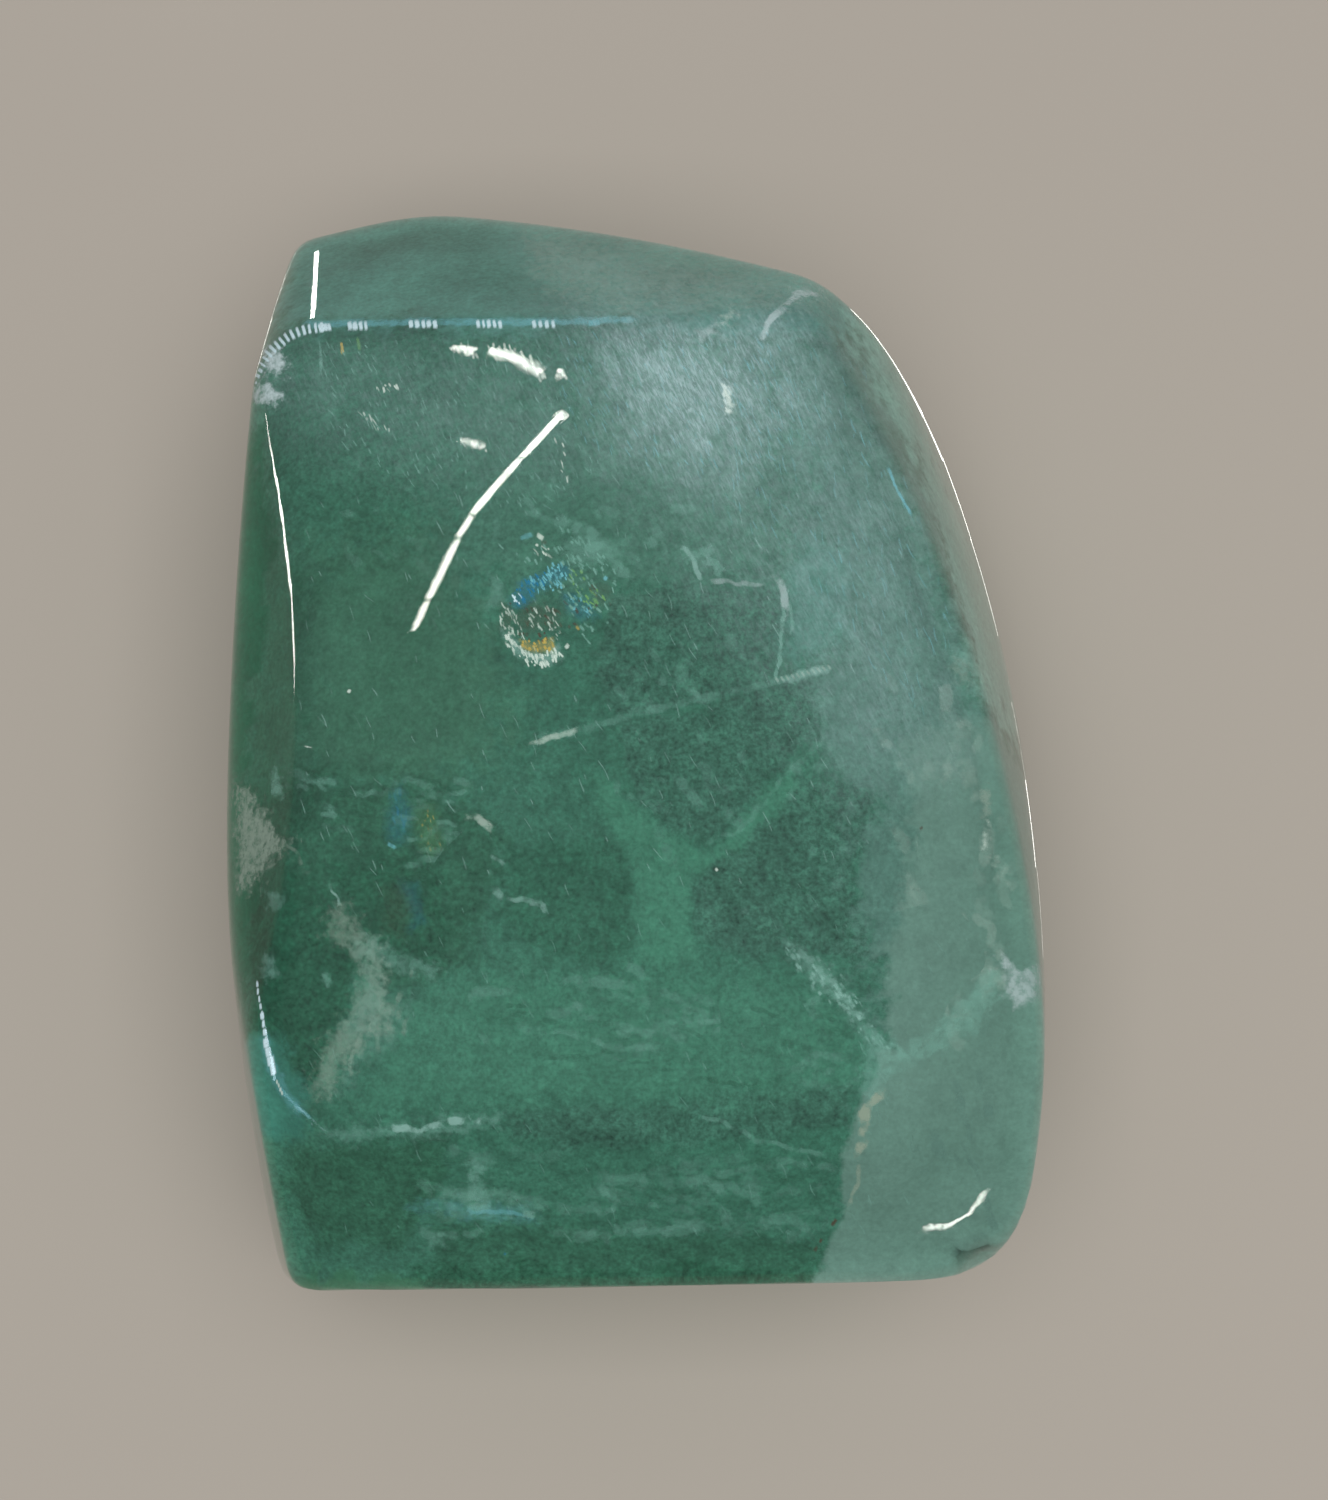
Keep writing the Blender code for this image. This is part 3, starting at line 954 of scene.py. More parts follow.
VEINS = {
    "left_tail": Vein("veil", 0.35, 7, 6, 0.9, ((282, 842), (298, 860), (314, 876))),
    "gauze_tip": Vein("milk", 0.5, 4, 3, 0.9, ((330, 884), (336, 894), (341, 906))),
    # Painted light: a bluish glow around the glints on the left foot's arc.
    "arc_glow": Vein("ice", 0.3, 18, 1, 0.4, ((262, 1030), (270, 1062), (284, 1094), (306, 1118))),
    "light_line": Vein("haze", 0.28, 12, 3, 1.2, ((530, 742), (580, 730), (640, 712), (740, 690),
        (835, 668))),
    "light_line_left": Vein("pearl", 0.5, 8, 2, 1.1, ((526, 744), (545, 739), (580, 730))),
    "light_line_right": Vein("milk", 0.4, 12, 2, 1.1, ((774, 682), (800, 675), (832, 667))),
    "shield_top": Vein("milk", 0.5, 7, 4, 0.9, ((672, 545), (684, 548), (692, 558), (700, 574),
        (705, 584))),
    "shield_rim": Vein("crack", 0.3, 7, 4, 0.9, ((706, 584), (724, 581), (744, 586), (766, 584))),
    "shield_side": Vein("crack", 0.45, 11, 4, 0.8, ((776, 571), (782, 584), (785, 598), (788, 622))),
    "shield_side_low": Vein("haze", 0.6, 6, 5, 1.0, ((784, 600), (782, 630), (779, 660), (775, 682))),
    "shield_hair": Vein("haze", 0.5, 5, 4, 1.0, ((788, 600), (793, 620), (790, 640))),
    "shield_edge": Vein("haze", 0.22, 9, 4, 1.2, ((790, 692), (822, 700), (826, 740), (790, 770),
        (742, 828), (700, 845))),
    "crest_hair": Vein("haze", 0.7, 4, 1, 0.4, ((317, 334), (321, 352), (320, 380))),
    # Painted highlight: a bluish line along the crest ridge, under the glint rows.
    "crest_line": Vein("ice", 0.5, 11, 0, 0.1, ((300, 324), (420, 322), (560, 322), (640, 319))),
    "mossy": Vein("mint", 0.25, 9, 6, 1.2, ((785, 944), (812, 962), (834, 985), (858, 1012),
        (882, 1046))),
    "right_branch": Vein("haze", 0.3, 16, 5, 1.0, ((886, 1058), (922, 1040), (960, 1010), (984, 985),
        (1004, 968))),
    "right_hair": Vein("haze", 0.45, 5, 2, 1.4, ((866, 946), (910, 930), (955, 920), (975, 924))),
    "pink_seam": Vein("rose", 0.75, 13, 6, 0.9, ((882, 1084), (872, 1104), (864, 1128), (858, 1160))),
    "pink_seam_low": Vein("rose", 0.45, 7, 4, 0.9, ((858, 1160), (855, 1184), (846, 1212))),
    "foot_hair": Vein("haze", 0.3, 7, 6, 1.2, ((700, 1112), (730, 1128), (766, 1144), (800, 1148),
        (836, 1162))),
    "foot_line": Vein("milk", 0.6, 8, 6, 0.6, ((392, 1130), (420, 1130), (446, 1124), (486, 1120))),
    "crest_seam": Vein("crack", 0.6, 8, 4, 0.3, ((760, 344), (764, 332), (774, 316), (786, 301),
        (800, 296))),
    "squiggle_high": Vein("pearl", 0.45, 10, 4, 1.3, ((461, 819), (470, 818), (480, 816), (488, 827),
        (498, 831))),
    "squiggle_low": Vein("milk", 0.4, 9, 5, 1.3, ((492, 888), (507, 899), (521, 900), (534, 901),
        (548, 914))),
    "squiggle_middle": Vein("milk", 0.4, 7, 3, 1.3, ((489, 856), (498, 859), (506, 866))),
    "blue_dash": Vein("ice", 0.3, 6, 2, 0.6, ((462, 1212), (500, 1212), (534, 1216))),
    "blue_tip": Vein("haze", 0.8, 11, 3, 0.5, ((522, 1212), (530, 1214), (538, 1213))),
    # Painted highlight: a cyan streak along the right ridge.
    "cyan_streak": Vein("ice", 0.9, 4, 0, 0.1, ((887, 465), (897, 490), (914, 519))),
    "black_speck": Vein("rust", 0.9, 5, 0, 0.5, ((920, 826), (923, 830))),
    "red_speck": Vein("rust", 0.9, 7, 0, 0.5, ((832, 1221), (836, 1224))),
    "red_speck_middle": Vein("rust", 0.8, 6, 0, 0.5, ((819, 1240), (822, 1242))),
    "red_speck_low": Vein("rust", 0.8, 7, 0, 0.5, ((814, 1247), (818, 1251))),
    "teal_speck": Vein("azure", 0.6, 5, 0, 0.8, ((503, 1253), (507, 1255))),
    "white_point": Vein("pearl", 0.9, 5, 0, 0.6, ((347, 690), (351, 692))),
    "white_point_low": Vein("pearl", 0.8, 3, 0, 0.6, ((303, 746), (314, 748))),
    "white_dot": Vein("pearl", 0.8, 4, 0, 0.6, ((715, 868), (718, 871))),
}
# A fracture with a film of air in it: the rainbow that its film reflects, painted in as colour patch by
# patch.
FLASHES = {
    "band": Veil("azure", 0.3, 7, 1.0, 0.1, ((511, 596), (518, 586), (536, 576), (554, 564), (566, 562),
        (572, 572), (558, 582), (538, 592), (524, 604), (513, 606))),
    "band_tail": Veil("azure", 0.2, 8, 1.0, 0.1, ((562, 594), (578, 594), (592, 604), (596, 616),
        (582, 620), (566, 608))),
    "heart": Veil("rust", 0.25, 10, 1.1, 0.1, ((520, 604), (548, 602), (560, 616), (556, 634),
        (524, 634), (512, 622))),
    "gold": Veil("gold", 0.35, 5, 0.9, 0.1, ((520, 640), (532, 642), (546, 638), (556, 638), (554, 650),
        (540, 652), (524, 650))),
    "rim": Veil("milk", 0.45, 8, 0.9, 0.1, ((506, 630), (514, 636), (526, 652), (544, 652), (558, 648),
        (562, 656), (546, 666), (526, 664), (510, 648))),
    "left_tint": Veil("rust", 0.22, 9, 1.1, 0.1, ((498, 600), (510, 604), (514, 628), (502, 628))),
    "side": Veil("rust", 0.2, 10, 1.1, 0.1, ((588, 580), (606, 582), (614, 598), (600, 608),
        (586, 600))),
    "feather": Veil("haze", 0.35, 12, 1.2, 0.1, ((562, 548), (580, 536), (604, 542), (626, 556),
        (600, 566), (575, 566))),
    "left_glow": Veil("haze", 0.35, 9, 1.1, 0.1, ((488, 586), (502, 588), (504, 606), (490, 608))),
    "low_azure": Veil("azure", 0.17, 12, 1.3, 0.2, ((392, 788), (404, 786), (412, 812), (409, 838),
        (398, 846), (389, 838), (387, 812))),
    "low_gold": Veil("lime", 0.15, 12, 1.3, 0.2, ((416, 812), (434, 806), (440, 826), (442, 850),
        (430, 860), (420, 850))),
    "low_amber": Veil("rust", 0.12, 12, 1.4, 0.2, ((378, 886), (406, 880), (420, 910), (406, 938),
        (382, 930))),
    "low_blue": Veil("azure", 0.16, 12, 1.4, 0.2, ((404, 884), (420, 884), (424, 924), (410, 930))),
}
FLASH_ARCS = {
    "rim_dot": Vein("pearl", 0.9, 7, 0, 0.8, ((565, 644), (569, 648))),
    "rim_right": Vein("gold", 0.6, 4, 1, 0.8, ((575, 625), (580, 631))),
    "rim_tail": Vein("haze", 0.7, 3, 1, 0.8, ((581, 632), (592, 646))),
    "side_dot": Vein("ice", 0.8, 6, 0, 0.8, ((603, 577), (608, 580))),
    "top_dot": Vein("pearl", 0.9, 8, 0, 0.8, ((536, 534), (544, 539))),
    "top_brown": Vein("rust", 0.4, 6, 0, 0.9, ((540, 543), (548, 542))),
    "top_dash": Vein("ice", 0.4, 7, 0, 0.9, ((518, 539), (534, 534))),
    "low_spark": Vein("ice", 0.6, 5, 3, 1.1, ((386, 840), (390, 846), (397, 850))),
    "orange_dash": Vein("gold", 0.8, 4, 0, 0.4, ((341, 341), (343, 355))),
    "green_dash": Vein("lime", 0.5, 4, 0, 0.4, ((357, 336), (360, 352))),
}
# Fine strokes strewn over a zone: their tone and strength, how many, their length and width in
# pixels, their lean in degrees, how deep they lie in millimetres, and the zone's outline.
Strokes = namedtuple("Strokes", "tone strength count length width lean depth outline")
# Fine scratches under the polish, and painted highlights: the pearl strokes near the crest, high on the
# broad face and at the spark are painted glints.
SCRATCHES_AND_GLINTS = (
    Strokes("ice", 0.3, 260, 16, 1.7, 64, 0.03, ((560, 335), (780, 330), (820, 400), (760, 480),
        (640, 470), (560, 430))),
    Strokes("haze", 0.5, 240, 14, 1.7, 62, 0.03, ((320, 340), (560, 340), (600, 460), (560, 520),
        (440, 500), (330, 440))),
    Strokes("ice", 0.22, 220, 24, 1.8, 72, 0.03, ((760, 340), (860, 360), (960, 620), (920, 720),
        (780, 560), (680, 480))),
    Strokes("milk", 0.3, 180, 20, 1.5, 62, 0.03, ((300, 480), (860, 480), (880, 900), (300, 900))),
    Strokes("haze", 0.25, 120, 20, 1.6, 62, 0.03, ((300, 900), (1000, 900), (960, 1240), (320, 1240))),
    Strokes("pearl", 1.0, 14, 12, 3.0, 62, 0.08, ((453, 342), (478, 348), (478, 358), (453, 350))),
    Strokes("pearl", 1.0, 34, 16, 3.2, 62, 0.08, ((489, 345), (518, 349), (546, 370), (541, 379),
        (512, 366), (490, 356))),
    Strokes("pearl", 1.0, 6, 12, 3.2, 62, 0.08, ((556, 368), (566, 370), (566, 382), (557, 380))),
    Strokes("pearl", 0.9, 10, 11, 3.0, 62, 0.08, ((459, 436), (486, 443), (486, 451), (460, 444))),
    Strokes("pearl", 0.8, 9, 10, 2.6, 62, 0.08, ((374, 382), (402, 386), (402, 394), (374, 390))),
    Strokes("pearl", 0.6, 9, 12, 2.4, 62, 0.08, ((356, 412), (366, 412), (394, 434), (386, 440))),
    Strokes("pearl", 1.0, 9, 18, 3.4, 62, 0.08, ((718, 388), (728, 384), (733, 412), (724, 416))),
    Strokes("pearl", 0.8, 8, 12, 2.4, 66, 0.08, ((554, 440), (566, 440), (568, 480), (558, 480))),
)
# The rainbow fractures' sparks: the colours that their air films reflect, painted in as strokes.
SPARKS = (
    Strokes("azure", 0.8, 36, 9, 3.0, 60, 0.9, ((510, 596), (516, 586), (534, 576), (548, 570),
        (540, 592), (522, 606), (512, 606))),
    Strokes("ice", 1.0, 46, 9, 2.8, 60, 0.85, ((528, 580), (548, 564), (562, 562), (570, 574),
        (560, 590), (530, 592))),
    Strokes("ice", 0.6, 18, 8, 2.6, 60, 0.9, ((562, 594), (580, 596), (594, 608), (588, 618),
        (568, 608))),
    Strokes("glint", 1.0, 7, 9, 2.6, 60, 0.85, ((511, 588), (524, 592), (522, 604), (512, 604))),
    Strokes("pearl", 1.0, 70, 10, 2.8, 64, 0.8, ((505, 632), (512, 636), (524, 652), (544, 654),
        (556, 648), (562, 654), (546, 666), (526, 664), (508, 648))),
    Strokes("pearl", 0.6, 34, 10, 2.4, 66, 0.85, ((502, 604), (514, 610), (524, 636), (512, 642),
        (500, 622))),
    Strokes("gold", 1.0, 26, 7, 3.6, 68, 0.8, ((520, 638), (532, 642), (546, 636), (556, 638),
        (554, 650), (540, 652), (524, 650))),
    Strokes("rust", 0.8, 10, 7, 3.0, 68, 0.78, ((518, 634), (556, 632), (556, 642), (520, 642))),
    Strokes("pearl", 0.6, 30, 9, 2.4, 60, 0.9, ((540, 604), (556, 610), (562, 640), (546, 640),
        (520, 616))),
    Strokes("pearl", 0.9, 8, 10, 2.8, 40, 0.85, ((532, 544), (552, 550), (550, 560), (536, 556))),
    Strokes("lime", 0.9, 22, 10, 2.8, 55, 0.9, ((564, 566), (580, 570), (606, 594), (598, 614),
        (580, 600))),
    Strokes("haze", 0.9, 80, 11, 2.8, 55, 0.9, ((490, 540), (560, 525), (620, 560), (622, 610),
        (590, 650), (566, 600), (520, 560))),
    Strokes("rust", 0.6, 24, 10, 3.2, 55, 0.95, ((500, 598), (520, 606), (556, 604), (600, 580),
        (614, 600), (590, 626), (520, 630))),
    Strokes("gold", 0.3, 12, 7, 2.4, 75, 1.2, ((418, 812), (432, 808), (442, 846), (432, 852),
        (422, 846))),
    Strokes("rust", 0.25, 12, 8, 3.2, 75, 1.2, ((424, 822), (436, 826), (442, 850), (426, 852))),
    Strokes("azure", 0.22, 12, 14, 4.0, 75, 1.2, ((390, 792), (408, 792), (410, 836), (392, 836))),
)
WISPS = (
    Strokes("haze", 0.2, 46, 90, 12, 4, 1.4, ((420, 970), (860, 980), (870, 1080), (640, 1100),
        (400, 1100))),
    Strokes("deep", 0.4, 40, 70, 8, 6, 1.2, ((470, 985), (860, 990), (860, 1090), (560, 1100))),
    Strokes("haze", 0.2, 50, 90, 14, 3, 1.2, ((440, 1150), (840, 1150), (820, 1236), (440, 1236))),
    Strokes("deep", 0.35, 30, 70, 8, 4, 1.2, ((300, 1150), (820, 1160), (800, 1270), (310, 1250))),
    Strokes("haze", 0.3, 30, 60, 9, 8, 1.4, ((280, 770), (480, 780), (480, 880), (300, 860))),
    Strokes("deep", 0.4, 26, 60, 9, 8, 1.4, ((280, 770), (480, 780), (480, 910), (300, 860))),
    Strokes("pearl", 0.1, 40, 75, 18, 64, 1.4, ((880, 680), (980, 700), (1030, 960), (960, 1050),
        (900, 960))),
    Strokes("haze", 0.2, 40, 50, 12, 50, 1.5, ((600, 600), (860, 620), (860, 950), (700, 940),
        (620, 800))),
    Strokes("deep", 0.4, 60, 30, 7, 50, 1.4, ((622, 600), (780, 600), (850, 780), (860, 950),
        (700, 940), (640, 790))),
    Strokes("haze", 0.2, 50, 40, 10, 40, 1.4, ((330, 420), (620, 400), (640, 560), (480, 600),
        (320, 560))),
    Strokes("veil", 0.2, 26, 30, 6, 96, 0.9, ((378, 950), (412, 962), (414, 1020), (372, 1056),
        (350, 1080), (340, 1060), (386, 1000))),
    Strokes("mint", 0.6, 60, 12, 4, 50, 1.1, ((778, 940), (800, 942), (838, 968), (862, 1004),
        (890, 1050), (868, 1048), (826, 1000), (796, 972))),
    Strokes("slate", 0.4, 16, 60, 12, 70, 1.3, ((880, 1080), (1000, 1080), (990, 1220), (860, 1200))),
    Strokes("haze", 0.35, 14, 60, 16, 20, 1.2, ((560, 500), (700, 510), (740, 570), (600, 580),
        (540, 540))),
)
# How far strokes swing from their lean in degrees, how far they bow, and how much their length,
# width and strength differ.
STROKE_SWING = 9.0
STROKE_BOW = 0.2
STROKE_LENGTHS = (0.3, 1.0)
STROKE_WIDTHS = (0.6, 1.3)
STROKE_STRENGTHS = (0.4, 1.2)
# Rows of painted glints: dashes across a ridge or along it that stand in for highlights of the lamps. Their
# tone and strength, their width, length and gap in pixels, how far they turn from the row, and the row's
# path.
# Then how far the dashes wander in pixels and how deep they lie in millimetres.
Row = namedtuple("Row", "tone strength width length gap turn path")
GLINT_DASH_WANDER = 0.5
GLINT_DASH_DEPTH = 0.08
GLINT_ROWS = (
    Row("glint", 1.0, 4.5, 13, 6.0, 90, ((322, 327), (300, 330), (285, 338), (270, 351), (258, 369),
        (250, 386))),
    Row("glint", 1.0, 5.5, 11, 4.8, 80, ((320, 328), (329, 327))),
    Row("glint", 1.0, 6.2, 12, 4.8, 80, ((350, 326), (366, 326))),
    Row("glint", 1.0, 6.0, 11, 5.0, 80, ((411, 324), (435, 324))),
    Row("glint", 1.0, 5.2, 11, 5.2, 80, ((478, 324), (500, 324))),
    Row("glint", 0.9, 5.4, 11, 5.0, 80, ((534, 324), (553, 324))),
    Row("ice", 0.5, 4.0, 9, 5.0, 80, ((590, 323), (598, 323))),
    Row("glint", 0.9, 3.0, 9, 7.0, 6, ((257, 984), (259, 998), (262, 1014))),
    Row("glint", 1.0, 4.6, 10, 8.0, 6, ((262, 1016), (264, 1028), (266, 1040))),
    Row("glint", 1.0, 7.5, 13, 9.5, 6, ((266, 1043), (269, 1056), (273, 1070))),
    Row("pearl", 0.7, 3.4, 6, 6.0, 15, ((277, 1082), (282, 1093))),
    Row("ice", 0.35, 5.0, 14, 10.0, 3, ((283, 1092), (292, 1103), (306, 1114))),
    Row("pearl", 0.2, 3.0, 8, 5.2, 64, ((777, 680), (800, 675), (829, 667))),
)
# How far apart the points of a veil and of a vein lie, in pixels, plainly and for fine work.
PLAIN_STEPS = (4.0, 3.0)
FINE_STEPS = (2.0, 1.5)
# How many seeds each sheet has, and the first seeds of the sparks and of the scratches.
SEEDS_EACH = 3
SPARK_SEED = 80
SCRATCH_AND_GLINT_SEED = 50


# Where a sheet's cover starts to show, and over how much of it the edge of a shred fades: plainly,
# and more so the further the sheet is torn.
SHRED_START = 0.1
SHRED_EDGE = 0.7
SHRED_EDGE_BY_TEAR = 0.2


def matt_torn_sheet(name, lump, tear=2.4):
    """A matt, pale sheet torn like gauze lump millimetres wide: healed cracks, films, scratches and painted
    glints.
    """
    material = new_material(name)
    tree = material.node_tree
    cover, strength = painted(tree, "cover")
    tone = add_node(tree, "ShaderNodeAttribute", attribute_name="tone")
    gauze = noise_of(tree, (lump, lump, lump), detail=6.0)
    torn = add_node(tree, "ShaderNodeMath", {0: gauze, 1: tear, 2: cover}, operation="MULTIPLY_ADD")
    start = SHRED_START + tear / 2
    end = start + SHRED_EDGE + SHRED_EDGE_BY_TEAR * tear
    shreds = ramp(tree, torn, start, end, 0.0, 1.0, "SMOOTHSTEP")
    alpha = add_node(tree, "ShaderNodeMath", {0: shreds, 1: strength}, operation="MULTIPLY")
    inputs = {"Base Color": tone, "Alpha": alpha, "Roughness": 0.7, "IOR": MATT_IOR}
    matt = add_node(tree, "ShaderNodeBsdfPrincipled", inputs)
    add_node(tree, "ShaderNodeOutputMaterial", {"Surface": matt})
    return material


def lay_sheets(context, name, material, veils, veins, steps):
    """A thin piece inside the stone, of veils and veins whose points lie steps pixels apart.

    It casts no shadow, as light reaches it from all sides.
    """
    sheets = Sheets(Sightline())
    for number, veil in enumerate(veils):
        sheets.add_veil(veil, steps[0], number * SEEDS_EACH)
    for number, vein in enumerate(veins):
        sheets.add_vein(vein, steps[1], number * SEEDS_EACH)
    piece = new_piece(name, sheets.mesh(context.scene.fluorite_colours), material)
    piece.visible_shadow = False
    piece.visible_diffuse = False
    return {"FINISHED"}


def strewn(strokes, seed):
    """Veins for fine strokes, strewn over their zone."""
    chance = random.Random(seed)
    low = np.min(strokes.outline, axis=0)
    high = np.max(strokes.outline, axis=0)
    veins = []
    while len(veins) < strokes.count:
        middle = np.array([chance.uniform(*span) for span in zip(low, high)])
        lean = math.radians(strokes.lean + chance.gauss(0.0, STROKE_SWING))
        run = np.array([math.cos(lean), math.sin(lean)]) * strokes.length
        run *= chance.uniform(*STROKE_LENGTHS) / 2
        bend = np.array([-run[1], run[0]]) * chance.uniform(-STROKE_BOW, STROKE_BOW)
        width = strokes.width * chance.uniform(*STROKE_WIDTHS)
        strength = strokes.strength * chance.uniform(*STROKE_STRENGTHS)
        if depth_inside(middle[None], strokes.outline)[0] > 0:
            path = (middle - run, middle + bend, middle + run)
            veins.append(Vein(strokes.tone, strength, width, strokes.width / 2, strokes.depth, path))
    return veins


def strewn_over(zones, first_seed):
    """The fine strokes of several zones, each strewn with a seed of its own."""
    numbered = enumerate(zones, first_seed)
    return [vein for seed, strokes in numbered for vein in strewn(strokes, seed)]


def glint_dashes(row):
    """Veins for a row of painted glint dashes."""
    middle = spread_along(row.path, row.gap)
    run = np.gradient(middle, axis=0)
    run *= row.length / 2 / np.linalg.norm(run, axis=1)[:, None]
    turn = math.radians(row.turn)
    side = run * math.cos(turn) + np.stack([-run[:, 1], run[:, 0]], axis=1) * math.sin(turn)
    return [
        Vein(row.tone, row.strength, row.width, GLINT_DASH_WANDER, GLINT_DASH_DEPTH, ends)
        for ends in zip(middle - side, middle + side)
    ]


class FLUORITE_OT_hang_veils(bpy.types.Operator):
    """Hangs the milky veils in the clear stone"""

    bl_idname = "fluorite.hang_veils"
    bl_label = "Hang the veils"

    def execute(self, context):
        material = matt_torn_sheet("milky_veil", lump=0.6, tear=3.0)
        return lay_sheets(context, "milky_veils", material, VEILS.values(), (), PLAIN_STEPS)


class FLUORITE_OT_thread_veins(bpy.types.Operator):
    """Threads the thin veins and wisps through the clear stone"""

    bl_idname = "fluorite.thread_veins"
    bl_label = "Thread the veins"

    def execute(self, context):
        veins = (*VEINS.values(), *strewn_over(WISPS, 0))
        material = matt_torn_sheet("healed_vein", lump=0.6)
        return lay_sheets(context, "healed_veins", material, (), veins, PLAIN_STEPS)


class FLUORITE_OT_crack_rainbows(bpy.types.Operator):
    """Opens the small fractures whose air film's rainbow, a reflection, is painted in as colour"""

    bl_idname = "fluorite.crack_rainbows"
    bl_label = "Crack the rainbows"

    def execute(self, context):
        arcs = (*FLASH_ARCS.values(), *strewn_over(SPARKS, SPARK_SEED))
        material = matt_torn_sheet("rainbow_film", lump=0.35, tear=1.4)
        return lay_sheets(context, "rainbow_fractures", material, FLASHES.values(), arcs, FINE_STEPS)


class FLUORITE_OT_scratch_and_glint_skin(bpy.types.Operator):
    """Draws fine scratches just under the polish, and painted glints: bright strokes and rows of dashes
    that stand in for highlights
    """

    bl_idname = "fluorite.scratch_skin"
    # This step paints glints that stand in for highlights, as well as scratches.
    bl_label = "Scratch the skin"

    def execute(self, context):
        rows = [vein for row in GLINT_ROWS for vein in glint_dashes(row)]
        veins = (*rows, *strewn_over(SCRATCHES_AND_GLINTS, SCRATCH_AND_GLINT_SEED))
        material = matt_torn_sheet("scratch_and_glint_film", lump=0.5, tear=0.8)
        return lay_sheets(context, "fine_scratches", material, (), veins, PLAIN_STEPS)


# ---------------------------------------------------------------- studio

# In metres and watts: the floor, and the soft box over it.
FLOOR_SIZE = 3.0
FLOOR_DROP = 0.1 * MM
WORLD_STRENGTH = 0.32
SOFTBOX_SIZE = 0.9
SOFTBOX_PLACE = (0.05, -0.15, 0.9)
SOFTBOX_WATTS = 7.5


def painted_board(colours):
    """Board painted matt: pale, with no gloss to compete with the stone."""
    material = new_material("painted_board")
    tree = material.node_tree
    inputs = {"Base Color": (*colours.floor, 1.0), "Roughness": 0.9}
    board = add_node(tree, "ShaderNodeBsdfPrincipled", inputs)
    add_node(tree, "ShaderNodeOutputMaterial", {"Surface": board})
    return material


def lay_floor(colours):
    half = FLOOR_SIZE / 2
    corners = [(x, y, -FLOOR_DROP) for x, y in ((-half, -half), (half, -half), (half, half), (-half, half))]
    mesh = bpy.data.meshes.new("floor")
    mesh.from_pydata(corners, [], [(0, 1, 2, 3)])
    mesh.materials.append(painted_board(colours))
    floor = bpy.data.objects.new("floor", mesh)
    bpy.context.collection.objects.link(floor)


def aim(thing, place, target, along=None):
    """Puts a camera or lamp at place, facing target, with its X axis near along."""
    back = (Vector(place) - Vector(target)).normalized()
    side = Vector(along or (1.0, 0.0, 0.0))
    up = back.cross(side).normalized()
    side = up.cross(back).normalized()
    turned = Matrix((side, up, back)).transposed().to_4x4()
    thing.matrix_world = Matrix.Translation(place) @ turned


def area_lamp(name, place, target, size, watts, along=None):
    light = bpy.data.lights.new(name, "AREA")
    light.shape = "RECTANGLE"
    light.size, light.size_y = size
    light.energy = watts
    lamp = bpy.data.objects.new(name, light)
    bpy.context.collection.objects.link(lamp)
    aim(lamp, place, target, along)
    return lamp


def stand_camera():
    lens = bpy.data.cameras.new("camera")
    lens.sensor_width = SENSOR_MM
    lens.sensor_fit = "AUTO"
    lens.lens = FOCAL_PIXELS * SENSOR_MM / PICTURE_HEIGHT
    lens.clip_start = CLIP_START
    camera = bpy.data.objects.new("camera", lens)
    bpy.context.collection.objects.link(camera)
    place, right, _, forward = camera_axes()
    aim(camera, tuple(place), tuple(place + forward), tuple(right))
    bpy.context.scene.camera = camera


# Lamps that show only as reflections in the polish: the pixels that a reflection follows, its width
# there in pixels, how bright the lamp is and its colour.
Glare = namedtuple("Glare", "path width bright colour")
WHITE_LIGHT = (1.0, 0.97, 0.9)
BLUE_LIGHT = (0.62, 0.85, 1.0)
